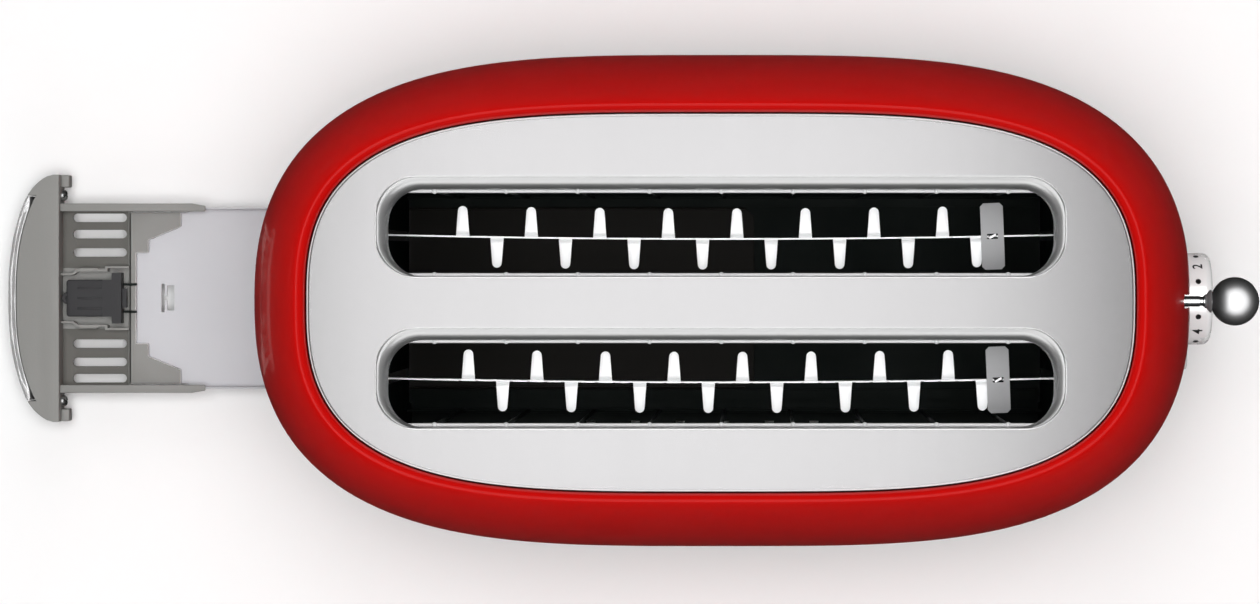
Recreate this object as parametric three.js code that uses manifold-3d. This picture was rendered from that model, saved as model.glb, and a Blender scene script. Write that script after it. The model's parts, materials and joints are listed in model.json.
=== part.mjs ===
// A long-slot pop-up toaster: an oval painted casing with a steel top panel and two long bread slots, a
// ball-ended lever and a browning dial on its right end, and a crumb tray that pulls out of its left end.
// Millimetres, +Z up, standing on Z = 0. The tray is partly pulled out and the lever is up.
import * as THREE from "three";
import { mergeVertices } from "three/addons/utils/BufferGeometryUtils.js";
import Module from "manifold-3d";

const wasm = await Module();
wasm.setup();

// ---- Driving dimensions -------------------------------------------------------------------------

const gap = 0.3; // left between two pieces that touch

// Casing. An outline is the curve |x/a|^endPower + |y/b|^sidePower = 1.
const bodyLength = 394;
const bodyWidth = 208;
const bodyHeight = 215;
const shellWall = 1.5;
const widestHeight = 85; // where the casing bulges most
const shoulderAlongX = 31; // from the widest outline in to the top panel, at the ends
const shoulderAlongY = 28; // and at the long sides
const widestPowers = [3.58, 2.38];
const rimPowers = [3.78, 2.77];
const skirtInset = 3; // the casing's lower edge stands in by this
const rimWidth = 3.4; // from the rim's crest in to the panel
const rimDrop = 2.6;
const lipDepth = 6;
const outlineSteps = 48;

// Base and feet
const footHeight = 6;
const footRadius = 9.5;
const footFromEnd = 109;
const footFromSide = 18;
const basePlateThickness = 2;
const baseRingHeight = 16;
const baseRingInset = 3;
const baseRingWall = 1.5;

// Bread slots in the top panel
const panelGap = 0.5;
const panelThickness = 1;
const panelDrop = 2.8; // the panel's edge lies this far under the rim's crest
const panelCrown = 1.8;
const slotEndInset = 59.6; // from the casing's end to the slot's
const slotSideInset = 53.9; // from the casing's side to the outer slot edge
const slotGap = 20.8; // between the two slots
const slotCorner = 16;
const flangeDepth = 11;
const flangeThickness = 0.8;
const rearFlangeLean = 4.6; // the rear wall of each slot leans in by this, to steer the bread
const endFlangeLean = 3.8;

// Toasting chambers
const chassisOffset = -2.35; // the chambers stand a little towards the front
const chassisThickness = 1.2;
const chassisTopDrop = 17; // from the rim's crest to the top of the end plates
const guardFromCentre = 16.95;
const guardWire = 0.8; // radius
const guardFoot = 32; // height of the pivot wire
const guardTopDrop = 20;
const wirePitch = 28.9;
const ribbonFromCentre = 22;
const ribbonThickness = 0.5;
const ribbonWidth = 3;
const ribbonPitch = 16;
const cardThickness = 0.8;
const cardFoot = 40;
const cardTopDrop = 30;
const cardSeam = 3; // between the left and right halves
const reflectorStand = 5.5; // from the ribbons out to the reflector
const sheetThickness = 0.8;

// Bread racks and carriage
const rackDrop = 97; // from the rim's crest down to the racks, popped up
const rackLow = 42; // height of the racks, toasting
const rackOffset = -0.4; // the rail's ends stand a little in front of the chamber's middle
const rackBow = 1.6; // and its middle this much further
const railHeight = 12;
const railThickness = 1;
const toothReachShare = 0.76; // of the way from the rail's middle to the guard
const toothRoot = 5.7;
const toothTip = 4.1;
const toothLead = 6; // a tooth stands this far past a guard wire
const endPlateSize = [9.6, 28];
const endPlateFromEnd = 23.8;
const frontRackShift = 2.4; // the front rack sits this far to the right of the rear one
const liftExtra = 12; // the lever lifts this far above its rest, for small slices
const rodRadius = 3;
const runningGap = 0.35;
const springWire = 0.6; // radius
const springTurns = 11;
const rodFromChassis = 14.6;
const sleeveRadius = 5.4;
const leverAboveRack = 40;
const shankRadius = 2.2;
const ballRadius = 10;
const ballPastEnd = 14.2; // its middle, past the casing's widest end

// Controls
const knobRadius = 20;
const knobHeight = 46; // of its axis
const knobDepth = 15.2;
const knobFromShell = 0.8;
const knobShaftRadius = 3;
const buttonRadius = 5;
const buttonTravel = 1;
const buttonStand = 0.6;
const buttonSide = -24;
const buttonHeights = [84, 102, 120];
const buttonNames = ["button_defrost", "button_reheat", "button_bagel"];

// Crumb tray, drawn shut and then pulled out
const trayPulled = 125;
const trayFrontHalf = 55;
const trayHalf = 42.2;
const trayFloorLift = 1; // above the base plate
const traySheet = 0.8;
const trayFlange = 5;
const trayHandleDepth = 22.6;
const trayEarDepth = 3.4; // the ledge behind the handle's ends
const trayEarWidth = 5.5;
const trayCover = 3;
const trayCoverHalf = 45.4;
const trayRailTop = 9; // above the tray's floor
const trayRailReach = 64.6;
const trayRailCover = 3.5;
const trayRailWall = 1.2;
const trayGuideGap = 0.5;
const trayGuideWall = 2;
const deckSlotShares = [0.283, 0.553, 0.793]; // of the way from the channel to the tray's side
const deckSlotLength = 24;
const deckSlotWidth = 3.8;
const channelHalf = 11.8;
const deckSlots = deckSlotShares.map((share) => channelHalf + share * (trayHalf - channelHalf));

// Cord gland
const glandX = 60;
const glandBore = 3.5;

// ---- Places worked out from them ----------------------------------------------------------------

const plateTop = footHeight + basePlateThickness;
const ringTop = footHeight + baseRingHeight;
const shellFoot = ringTop + 0.5;
const panelEdge = bodyHeight - panelDrop;
const slotHalf = bodyLength / 2 - slotEndInset;
const slotOuter = bodyWidth / 2 - slotSideInset;
const slotInner = slotGap / 2;
const slotWidth = slotOuter - slotInner;
const chamberHalf = slotHalf + 2.8; // to the inner face of each chassis plate
const chassisTop = bodyHeight - chassisTopDrop;
const chamberPitch = slotWidth + slotGap;
const chambers = { front: chassisOffset - chamberPitch / 2, rear: chassisOffset + chamberPitch / 2 };
const guardTop = bodyHeight - guardTopDrop;
const chassisHalf = chamberPitch / 2 + (ribbonFromCentre + reflectorStand) + 2.5;
const rackTop = bodyHeight - rackDrop;
const travel = rackTop - rackLow;
const leverZ = rackTop + leverAboveRack;
const carriageX = chamberHalf + chassisThickness + 1.6;
const rodX = chamberHalf + chassisThickness + rodFromChassis;
const trayFloor = plateTop + trayFloorLift;
const trayEnd = -(bodyLength / 2 - (shoulderAlongX * baseRingInset) / shoulderAlongY);

// ---- Colours ------------------------------------------------------------------------------------

function finish(color, roughness, metalness) {
  return new THREE.MeshStandardMaterial({ color, roughness, metalness });
}

const redEnamel = finish("#b3140f", 0.18, 0);
const satinSteel = finish("#c9c7c8", 0.35, 1);
const polishedChrome = finish("#e2e2e2", 0.08, 1);
const blackenedSteel = finish("#20211f", 0.55, 0.6);
const brightWire = finish("#d6d8d8", 0.25, 1);
const mica = finish("#2b2a28", 0.6, 0);
const nichrome = finish("#6c6660", 0.45, 1);
const greyPlastic = finish("#8f8f8b", 0.55, 0);
const blackPlastic = finish("#232325", 0.5, 0);
const aluminium = finish("#c6c7ca", 0.4, 1);
const rubber = finish("#1c1c1c", 0.85, 0);
const boardGreen = finish("#1d5a38", 0.5, 0);
const copperCoil = finish("#8a4a2a", 0.4, 0.8);

// ---- Solids -------------------------------------------------------------------------------------

/** A closed three.js geometry as a manifold-3d solid. */
function solidOf(geometry) {
  const bare = new THREE.BufferGeometry();
  bare.setAttribute("position", geometry.getAttribute("position"));
  if (geometry.index) bare.setIndex(geometry.index);
  const merged = mergeVertices(bare, 1e-3);
  return new wasm.Manifold(
    new wasm.Mesh({
      numProp: 3,
      vertProperties: new Float32Array(merged.attributes.position.array),
      triVerts: new Uint32Array(merged.index.array),
    }),
  );
}

/** A manifold-3d solid as a three.js geometry. */
function geometryOf(solid) {
  const made = solid.getMesh();
  const geometry = new THREE.BufferGeometry();
  geometry.setAttribute("position", new THREE.BufferAttribute(made.vertProperties, 3));
  geometry.setIndex(new THREE.BufferAttribute(made.triVerts, 1));
  const flat = geometry.toNonIndexed();
  flat.computeVertexNormals();
  return flat;
}

const join = (...solids) => solids.reduce((all, next) => all.add(next));
const cut = (from, ...solids) => solids.reduce((left, next) => left.subtract(next), from);

/** A box between two corners. */
function box(low, high) {
  const size = high.map((v, i) => v - low[i]);
  const middle = high.map((v, i) => (v + low[i]) / 2);
  return solidOf(new THREE.BoxGeometry(...size).translate(...middle));
}

/** A round bar from one point to another along an axis, with its end radii. */
function bar(axis, start, end, across, radius, sides = 16, endRadius = radius) {
  const length = end - start;
  const geometry = new THREE.CylinderGeometry(endRadius, radius, length, sides);
  const middle = (start + end) / 2;
  if (axis === "x") geometry.rotateZ(-Math.PI / 2).translate(middle, across[0], across[1]);
  if (axis === "y") geometry.translate(across[0], middle, across[1]);
  if (axis === "z") geometry.rotateX(Math.PI / 2).translate(across[0], across[1], middle);
  return solidOf(geometry);
}

/** A closed profile of [radius, along] pairs turned about an axis through a point. */
function turned(profile, axis, place, sides = 24) {
  const points = profile.map(([radius, along]) => new THREE.Vector2(radius, along));
  const geometry = new THREE.LatheGeometry(points, sides);
  if (axis === "x") geometry.rotateZ(-Math.PI / 2);
  if (axis === "z") geometry.rotateX(Math.PI / 2);
  return solidOf(geometry.translate(...place));
}

/** A flat shape in X and Y, given thickness between two heights. */
function slab(points, low, high) {
  const shape = new THREE.Shape(points.map(([x, y]) => new THREE.Vector2(x, y)));
  const geometry = new THREE.ExtrudeGeometry(shape, { depth: high - low, bevelEnabled: false });
  return solidOf(geometry.translate(0, 0, low));
}

/** A solid whose skin runs through rings of points, with flat ends, or round to the first ring again. */
function lofted(rings, isRound = false) {
  const around = rings[0].length;
  const positions = rings.flat().flatMap((p) => [p.x, p.y, p.z]);
  const faces = [];
  const bands = isRound ? rings.length : rings.length - 1;
  for (let r = 0; r < bands; r++)
    for (let i = 0; i < around; i++) {
      const j = (i + 1) % around;
      const low = r * around;
      const high = ((r + 1) % rings.length) * around;
      faces.push(low + i, low + j, high + j, low + i, high + j, high + i);
    }
  if (!isRound) {
    const outline = rings[0].map((p) => new THREE.Vector2(p.x, p.y));
    const top = (rings.length - 1) * around;
    for (const [a, b, c] of THREE.ShapeUtils.triangulateShape(outline, [])) {
      faces.push(c, b, a);
      faces.push(top + a, top + b, top + c);
    }
  }
  const geometry = new THREE.BufferGeometry();
  geometry.setAttribute("position", new THREE.Float32BufferAttribute(positions, 3));
  geometry.setIndex(faces);
  return solidOf(geometry);
}

// ---- Outlines -----------------------------------------------------------------------------------

/** The casing's outline at a height, inset from the widest one by an amount measured at the long sides. */
function casingRing(inset, z, scale = 1) {
  const share = inset / shoulderAlongY;
  const a = (bodyLength / 2 - shoulderAlongX * share) * scale;
  const b = (bodyWidth / 2 - inset) * scale;
  const powers = widestPowers.map((p, i) => p + (rimPowers[i] - p) * share);
  const ring = [];
  for (let i = 0; i < outlineSteps; i++) {
    const turn = (2 * Math.PI * i) / outlineSteps;
    const along = Math.cos(turn);
    const across = Math.sin(turn);
    const x = a * Math.sign(along) * Math.abs(along) ** (2 / powers[0]);
    const y = b * Math.sign(across) * Math.abs(across) ** (2 / powers[1]);
    ring.push(new THREE.Vector3(x, y, z));
  }
  return ring;
}

/** How far the casing's outer face stands in at a height. */
function shellInset(z) {
  if (z < widestHeight) return skirtInset * ((widestHeight - z) / (widestHeight - shellFoot)) ** 2;
  const up = (z - widestHeight) / (bodyHeight - widestHeight);
  return (shoulderAlongY - rimWidth) * (1 - (1 - up ** 2.6) ** (1 / 1.3));
}

/** X of the casing's right end at a height and a distance from the middle. */
function shellEnd(z, y = 0) {
  const inset = shellInset(z);
  const share = inset / shoulderAlongY;
  const powers = widestPowers.map((p, i) => p + (rimPowers[i] - p) * share);
  const across = Math.abs(y / (bodyWidth / 2 - inset)) ** powers[1];
  return (bodyLength / 2 - shoulderAlongX * share) * (1 - across) ** (1 / powers[0]);
}

/** An oval wall: an outer profile of [inset, z] pairs, going up, and the same profile a wall further in. */
function ovalWall(profile, wall) {
  const inner = profile.map(([inset, z], i) => {
    const before = profile[Math.max(i - 1, 0)];
    const after = profile[Math.min(i + 1, profile.length - 1)];
    const run = [after[0] - before[0], after[1] - before[1]];
    const length = Math.hypot(...run);
    return [inset + (wall * run[1]) / length, z - (wall * run[0]) / length];
  });
  const rings = [...profile, ...inner.reverse()].map(([inset, z]) => casingRing(inset, z));
  return lofted(rings, true);
}

/** A rounded rectangle as a ring of points. */
function roundedRing(left, right, low, high, corner, z) {
  const corners = [
    [right - corner, low + corner],
    [right - corner, high - corner],
    [left + corner, high - corner],
    [left + corner, low + corner],
  ];
  const ring = [];
  corners.forEach(([x, y], quarter) => {
    for (let k = 0; k <= 5; k++) {
      const turn = (Math.PI / 2) * (quarter - 1 + k / 5);
      ring.push(new THREE.Vector3(x + corner * Math.cos(turn), y + corner * Math.sin(turn), z));
    }
  });
  return ring;
}

/** A solid slab of the casing's outline at an inset. */
function ovalSlab(inset, low, high) {
  return lofted([casingRing(inset, low), casingRing(inset, high)]);
}

const toaster = new THREE.Group();

/** Adds a sub-part to a group as a named mesh. */
function piece(name, solid, material, group = toaster) {
  const mesh = new THREE.Mesh(geometryOf(solid), material);
  mesh.name = name;
  group.add(mesh);
  return mesh;
}

// ---- Casing, panel and base ---------------------------------------------------------------------

/** The casing's outer profile of [inset, z] pairs, from its foot over the rolled rim and down the lip. */
function casingProfile() {
  const profile = [];
  for (const share of [0, 0.5, 1]) {
    const z = shellFoot + share * (widestHeight - shellFoot);
    profile.push([shellInset(z), z]);
  }
  for (const up of [0.25, 0.42, 0.57, 0.7, 0.8, 0.88, 0.94, 0.975, 0.993]) {
    const z = widestHeight + up * (bodyHeight - widestHeight);
    profile.push([shellInset(z), z]);
  }
  const crest = shoulderAlongY - rimWidth;
  profile.push([crest, bodyHeight]);
  profile.push([crest + 0.55 * rimWidth, bodyHeight - 0.3 * rimDrop]);
  profile.push([crest + 0.88 * rimWidth, bodyHeight - 0.65 * rimDrop]);
  profile.push([shoulderAlongY, bodyHeight - 1.3 * rimDrop]);
  profile.push([shoulderAlongY, bodyHeight - 1.3 * rimDrop - lipDepth]);
  return profile;
}

const leverSlotLow = leverZ - travel - shankRadius - 2;
const leverSlotHigh = leverZ + liftExtra + shankRadius + 2;
const leverSlotHalf = shankRadius + 1.2;
const beyond = bodyLength;
const leverSlot = box([rodX, -leverSlotHalf, leverSlotLow], [beyond, leverSlotHalf, leverSlotHigh]);
const knobHole = bar("x", rodX, beyond, [0, knobHeight], knobShaftRadius + 0.6);
const buttonHoles = buttonHeights.map((z) => bar("x", rodX, beyond, [buttonSide, z], buttonRadius + 0.4, 24));
const casing = ovalWall(casingProfile(), shellWall);
piece("body_shell", cut(casing, leverSlot, knobHole, ...buttonHoles), redEnamel);

/** A bread slot as a ring, grown by a margin, at a share of the way down its flange. */
function slotRing(side, grow, down) {
  const inner = side > 0 ? slotInner : -slotOuter;
  const outer = side > 0 ? slotOuter : -slotInner;
  const end = slotHalf - endFlangeLean * down + grow;
  const rear = outer - rearFlangeLean * down + grow;
  const z = panelEdge - flangeDepth * down;
  return roundedRing(-end, end, inner - grow, rear, slotCorner - 2 * down + grow, z);
}

/** The steel panel: a shallow dome with two slots, whose edges are turned down into leaning flanges. */
function topPanel() {
  const inset = shoulderAlongY + panelGap;
  const rings = [casingRing(inset, panelEdge - panelThickness)];
  for (const scale of [1, 0.88, 0.72, 0.52, 0.25])
    rings.push(casingRing(inset, panelEdge + panelCrown * (1 - scale * scale), scale));
  let panel = lofted(rings);
  for (const side of [-1, 1]) {
    panel = join(panel, lofted([slotRing(side, flangeThickness, 1), slotRing(side, flangeThickness, 0)]));
    const through = lofted([slotRing(side, 0, 1.2), slotRing(side, 0, -0.4)]);
    panel = cut(panel, through);
  }
  return panel;
}
piece("top_panel", topPanel(), satinSteel);

const mouthHalf = trayFrontHalf + 0.5;
const trayMouth = box([-beyond, -mouthHalf, 0], [trayEnd + trayHandleDepth + 6, mouthHalf, ringTop + 1]);
const glandY = casingRing(baseRingInset, 0).reduce((best, p) => Math.max(best, p.y), 0);
const glandZ = footHeight + baseRingHeight / 2 + 0.5;
const glandHole = bar("y", 0, beyond, [glandX, glandZ], glandBore + 1.9);
const ring = ovalWall([[baseRingInset, footHeight], [baseRingInset, ringTop]], baseRingWall);
piece("base_ring", cut(ring, trayMouth, glandHole), blackPlastic);

/** The plate under everything, cut back for the tray's handle, with two rows of vents. */
function basePlate() {
  const inset = baseRingInset + baseRingWall + gap;
  const vents = [];
  const rowHalf = 60;
  for (let k = 0; k < 7; k++)
    for (const side of [-1, 1]) {
      const x = -rowHalf + (2 * rowHalf * k) / 6;
      const low = side > 0 ? trayFrontHalf : -trayFrontHalf - 22;
      vents.push(box([x - 2, low, 0], [x + 2, low + 22, plateTop + 1]));
    }
  const mouthEnd = trayEnd + trayHandleDepth + trayEarDepth + 0.5;
  const mouth = box([-beyond, -mouthHalf, 0], [mouthEnd, mouthHalf, plateTop + 1]);
  return cut(ovalSlab(inset, footHeight, plateTop), mouth, ...vents);
}
piece("base_plate", basePlate(), blackenedSteel);

const footX = bodyLength / 2 - footFromEnd;
const footY = bodyWidth / 2 - footFromSide;
const footProfile = [
  [0, 0],
  [footRadius - 1, 0],
  [footRadius, 1],
  [footRadius - 1.2, footHeight - gap],
  [0, footHeight - gap],
];
for (const [end, x] of [["left", -footX], ["right", footX]])
  for (const [side, y] of [["front", -footY], ["rear", footY]])
    piece(`foot_${side}_${end}`, turned(footProfile, "z", [x, y, 0]), rubber);

const glandProfile = [
  [glandBore, -9],
  [glandBore + 1.5, -9],
  [glandBore + 1.5, -5.6],
  [glandBore + 2.4, -5.6],
  [glandBore + 2.4, -3.4],
  [glandBore + 1.5, -3.4],
  [glandBore + 1.5, 1.6],
  [glandBore, 1.6],
  [glandBore, -9],
];
piece("cord_gland", turned(glandProfile, "y", [glandX, glandY, glandZ]), rubber);

// ---- Toasting chambers --------------------------------------------------------------------------

const guardYs = [];
for (const [name, chamber] of Object.entries(chambers))
  for (const [side, sign] of [["front", -1], ["rear", 1]])
    guardYs.push([`guard_${name}_slot_${side}`, chamber + sign * guardFromCentre]);

/** The y of a rack's rail at an x. */
const rackLine = (chamber, x) => chamber + rackOffset - rackBow * Math.max(0, 1 - (x / slotHalf) ** 2);

/** A chassis end plate at x: arched over the tray, slotted for the racks and drilled for the guards. */
function chassisPlate(x) {
  const low = x - 1;
  const high = x + chassisThickness + 1;
  const front = chassisOffset - chassisHalf;
  const rear = chassisOffset + chassisHalf;
  const plate = box([x, front, plateTop + gap], [x + chassisThickness, rear, chassisTop]);
  const arch = box([low, -trayHalf - 4.5, 0], [high, trayHalf + 4.5, trayFloor + trayRailTop + 5]);
  const slots = Object.values(chambers).map((chamber) => {
    const y = rackLine(chamber, slotHalf);
    const bottom = rackLow - railHeight - 4;
    return box([low, y - 2.2, bottom], [high, y + 2.2, rackTop + liftExtra + 3]);
  });
  const holes = guardYs.map(([, y]) => bar("x", low, high, [y, guardFoot], guardWire + 0.5, 12));
  return cut(plate, arch, ...slots, ...holes);
}
const rodEar = box([chamberHalf, -8, chassisTop - 12], [rodX + 6, 8, chassisTop - 10.8]);
const earHole = bar("z", chassisTop - 20, chassisTop, [rodX, 0], rodRadius + gap);
piece("chassis_left", chassisPlate(-chamberHalf - chassisThickness), blackenedSteel);
piece("chassis_right", cut(join(chassisPlate(chamberHalf), rodEar), earHole), blackenedSteel);

const liningHalf = chamberHalf - gap;
const liningLow = trayFloor + trayRailTop + 6;
const liningHigh = chassisTop - 8;
for (const [name, chamber] of Object.entries(chambers))
  for (const [side, sign] of [["front", -1], ["rear", 1]]) {
    const near = chamber + sign * (ribbonFromCentre + reflectorStand);
    const far = near + sign * sheetThickness;
    const [from, to] = [near, far].sort((a, b) => a - b);
    const sheet = box([-liningHalf, from, liningLow], [liningHalf, to, liningHigh]);
    piece(`reflector_${name}_slot_${side}`, sheet, satinSteel);
  }

const cardTop = bodyHeight - cardTopDrop;

/** One heating card: a mica sheet with a narrow slit down its middle. */
function card(chamber, sign) {
  const near = chamber + sign * (ribbonFromCentre + ribbonThickness / 2 + gap);
  const far = near + sign * cardThickness;
  const [from, to] = [near, far].sort((a, b) => a - b);
  const sheet = box([-liningHalf, from, cardFoot], [liningHalf, to, cardTop]);
  const slit = box([-cardSeam / 2, near - 2, cardFoot + 8], [cardSeam / 2, near + 2, cardTop - 8]);
  return cut(sheet, slit);
}

/** Its ribbon: level runs up the card's inner face, joined at alternate ends. */
function winding(chamber, sign) {
  const y = chamber + sign * ribbonFromCentre;
  const half = ribbonThickness / 2;
  const end = liningHalf - 8;
  const low = cardFoot + 6;
  const runs = Math.floor((cardTop - 6 - low - ribbonWidth) / ribbonPitch);
  const bars = [];
  for (let k = 0; k <= runs; k++) {
    const z = low + k * ribbonPitch;
    bars.push(box([-end, y - half, z], [end, y + half, z + ribbonWidth]));
    const x = k % 2 ? -end : end - ribbonWidth;
    if (k < runs) bars.push(box([x, y - half, z], [x + ribbonWidth, y + half, z + ribbonPitch + 1]));
  }
  return join(...bars);
}
for (const [name, chamber] of Object.entries(chambers))
  for (const [side, sign] of [["front", -1], ["rear", 1]]) {
    piece(`card_${name}_slot_${side}`, card(chamber, sign), mica);
    piece(`winding_${name}_slot_${side}`, winding(chamber, sign), nichrome);
  }

/** A bread guard: nine upright wires between a pivot wire and a top wire. */
function guard(y) {
  const pivotHalf = chamberHalf + chassisThickness + 1;
  const wires = [bar("x", -pivotHalf, pivotHalf, [y, guardFoot], guardWire, 8)];
  wires.push(bar("x", -slotHalf + 5.8, slotHalf - 5.8, [y, guardTop], guardWire, 8));
  for (let k = -4; k <= 4; k++) wires.push(bar("z", guardFoot, guardTop, [k * wirePitch, y], guardWire, 8));
  return join(...wires);
}
for (const [name, y] of guardYs) piece(name, guard(y), brightWire);

// ---- Racks and carriage -------------------------------------------------------------------------

/** A tooth, pointing along +Y from the origin. */
function tooth(reach) {
  const root = toothRoot / 2;
  const tip = toothTip / 2;
  const points = [[-root, 0], [root, 0], [tip, reach - tip]];
  for (const turn of [30, 60, 90, 120, 150]) {
    const angle = THREE.MathUtils.degToRad(turn);
    points.push([tip * Math.cos(angle), reach - tip + tip * Math.sin(angle)]);
  }
  points.push([-tip, reach - tip]);
  return slab(points, rackTop - railThickness, rackTop);
}

/** A bread rack: a rail on edge, teeth bent out to both sides of it in turn, and a tab for its end plate. */
function rack(chamber, shift) {
  const left = -chamberHalf - chassisThickness - 3;
  const right = carriageX - gap;
  const front = [];
  const rear = [];
  for (let k = 0; k <= 14; k++) {
    const x = left + ((right - left) * k) / 14;
    front.push([x, rackLine(chamber, x) - railThickness / 2]);
    rear.unshift([x, rackLine(chamber, x) + railThickness / 2]);
  }
  const reach = toothReachShare * guardFromCentre;
  const parts = [slab([...front, ...rear], rackTop - railHeight, rackTop)];
  for (let k = -4; k < 4; k++)
    for (const [sign, ahead] of [[1, 0], [-1, wirePitch / 2]]) {
      const x = k * wirePitch + toothLead + ahead + shift;
      const turn = sign > 0 ? 0 : 180;
      parts.push(tooth(reach).rotate([0, 0, turn]).translate([x, rackLine(chamber, x), 0]));
    }
  const tabX = slotHalf - endPlateFromEnd + shift;
  const tabY = rackLine(chamber, tabX);
  const tabHalf = railThickness / 2;
  parts.push(box([tabX - 1.6, tabY - tabHalf, rackTop - 1], [tabX + 1.6, tabY + tabHalf, rackTop + 2]));
  return join(...parts);
}

/** The plate over a rack's right end, held by the rail's tab. */
function rackPlate(chamber, shift) {
  const x = slotHalf - endPlateFromEnd + shift;
  const [half, reach] = endPlateSize.map((v) => v / 2);
  const clip = 1.4;
  const points = [
    [half, -reach + clip],
    [half, reach - clip],
    [half - clip, reach],
    [-half + clip, reach],
    [-half, reach - clip],
    [-half, -reach + clip],
    [-half + clip, -reach],
    [half - clip, -reach],
  ];
  const hole = box([-2.1, -1, 0], [2.1, 1, bodyHeight]);
  const plate = cut(slab(points, rackTop + gap, rackTop + gap + 0.8), hole);
  return plate.rotate([0, 0, 2.2]).translate([x, rackLine(chamber, x), 0]);
}
for (const [name, chamber] of Object.entries(chambers)) {
  const shift = name === "front" ? frontRackShift : 0;
  piece(`rack_${name}`, rack(chamber, shift), brightWire);
  piece(`rack_plate_${name}`, rackPlate(chamber, shift), satinSteel);
}

const magnetX = [rodX - 8, rodX + 6];
const magnetY = [-28, -14];
const magnetTop = plateTop + 22;
const keeperLow = magnetTop + 0.5 + travel;
const keeperHigh = keeperLow + 2;

/** The carriage: a plate that holds both racks, a sleeve on the guide rod, and the lever's socket. */
function carriage() {
  const low = rackTop - railHeight - 3;
  const high = rackTop + 3;
  const plate = box([carriageX, chambers.front - 6, low], [carriageX + 1.5, chambers.rear + 6, high]);
  const web = box([carriageX, -4, low], [rodX, 4, high]);
  const sleeve = bar("z", low, leverZ + 8, [rodX, 0], sleeveRadius, 20);
  const socket = bar("x", rodX, rodX + 14, [0, leverZ], shankRadius + 1.8);
  const armLow = [carriageX, magnetY[0] - 1, keeperHigh + gap];
  const keeperArm = box(armLow, [magnetX[1], magnetY[1] + 1, keeperHigh + 1.8]);
  const rodBore = bar("z", low - 1, leverZ + 9, [rodX, 0], rodRadius + runningGap, 16);
  const shankBore = bar("x", rodX + sleeveRadius + 1, rodX + 15, [0, leverZ], shankRadius + gap);
  return cut(join(plate, web, sleeve, socket, keeperArm), rodBore, shankBore);
}
piece("carriage", carriage(), blackenedSteel);
const keeper = box([magnetX[0], magnetY[0], keeperLow], [magnetX[1], magnetY[1], keeperHigh]);
piece("magnet_keeper", keeper, satinSteel);

const ballX = bodyLength / 2 + ballPastEnd;
const ballFront = ballX - ballRadius;
const shankStart = rodX + sleeveRadius + 1.5;
piece("lever_shank", bar("x", shankStart, ballFront + 3, [0, leverZ], shankRadius), polishedChrome);
const collarBore = shankRadius + gap;
const collarProfile = [
  [collarBore, -4.2],
  [collarBore + 1.4, -4.2],
  [collarBore + 2.4, -2.2],
  [collarBore + 2.4, -1.6],
  [collarBore, -1.6],
  [collarBore, -4.2],
];
piece("lever_collar", turned(collarProfile, "x", [ballFront + 1, 0, leverZ]), blackPlastic);
const ball = solidOf(new THREE.SphereGeometry(ballRadius, 24, 12).translate(ballX, 0, leverZ));
const ballBore = bar("x", ballFront - 2, ballFront + 4, [0, leverZ], shankRadius + gap);
piece("lever_ball", cut(ball, ballBore), polishedChrome);

piece("guide_rod", bar("z", plateTop + gap, chassisTop - 6, [rodX, 0], rodRadius), brightWire);

/** A coil spring's centre line. */
class Coil extends THREE.Curve {
  constructor(radius, turns, length) {
    super();
    Object.assign(this, { radius, turns, length });
  }
  getPoint(share) {
    const angle = 2 * Math.PI * this.turns * share;
    const [x, y] = [this.radius * Math.cos(angle), this.radius * Math.sin(angle)];
    return new THREE.Vector3(x, y, this.length * share);
  }
}

/** The spring on the guide rod that pushes the carriage up. */
function returnSpring() {
  const low = plateTop + gap + springWire;
  const high = rackTop - railHeight - 3 - gap - springWire;
  const section = [0, 60, 120, 180, 240, 300].map((turn) => {
    const angle = THREE.MathUtils.degToRad(turn);
    return new THREE.Vector2(springWire * Math.cos(angle), springWire * Math.sin(angle));
  });
  const coil = new Coil(rodRadius + 1.6, springTurns, high - low);
  const options = { steps: 8 * springTurns, bevelEnabled: false, extrudePath: coil };
  const geometry = new THREE.ExtrudeGeometry(new THREE.Shape(section), options);
  return solidOf(geometry.translate(rodX, 0, low));
}
piece("return_spring", returnSpring(), brightWire);

// ---- Electrics and controls ---------------------------------------------------------------------

const magnetMiddle = [(magnetX[0] + magnetX[1]) / 2, (magnetY[0] + magnetY[1]) / 2];
const yoke = box([magnetX[0], magnetY[0], plateTop + gap], [magnetX[1], magnetY[1], plateTop + 4]);
const pole = bar("z", plateTop + 2, magnetTop, magnetMiddle, 2.8);
piece("magnet_core", join(yoke, pole), blackenedSteel);
const coilProfile = [
  [2.8 + gap, plateTop + 4 + gap],
  [6.4, plateTop + 4 + gap],
  [6.4, magnetTop - 2],
  [2.8 + gap, magnetTop - 2],
  [2.8 + gap, plateTop + 4 + gap],
];
piece("magnet_coil", turned(coilProfile, "z", [...magnetMiddle, 0]), copperCoil);

const boardX = rodX + 20;
const boardThickness = 1.6;
const switchDepth = 4;

/** The control board: across the end behind the dial, and up beside the lever behind the buttons. */
function controlBoard() {
  const foot = box([boardX, -40, ringTop - 8], [boardX + boardThickness, 40, knobHeight + knobRadius + 2]);
  const top = Math.max(...buttonHeights) + 9;
  const wing = box([boardX, buttonSide - 14, knobHeight], [boardX + boardThickness, buttonSide + 11, top]);
  const switches = buttonHeights.map((z) => {
    const low = [boardX + 1, buttonSide - 3, z - 3];
    return box(low, [boardX + boardThickness + switchDepth, buttonSide + 3, z + 3]);
  });
  const shaftHole = bar("x", boardX - 1, boardX + 4, [0, knobHeight], knobShaftRadius + 0.6);
  return cut(join(foot, wing, ...switches), shaftHole);
}
piece("control_board", controlBoard(), boardGreen);
const potBody = box([boardX - 8, -8, knobHeight - 8], [boardX - gap, 8, knobHeight + 8]);
const potBore = bar("x", boardX - 6, boardX + 2, [0, knobHeight], knobShaftRadius + gap);
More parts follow.
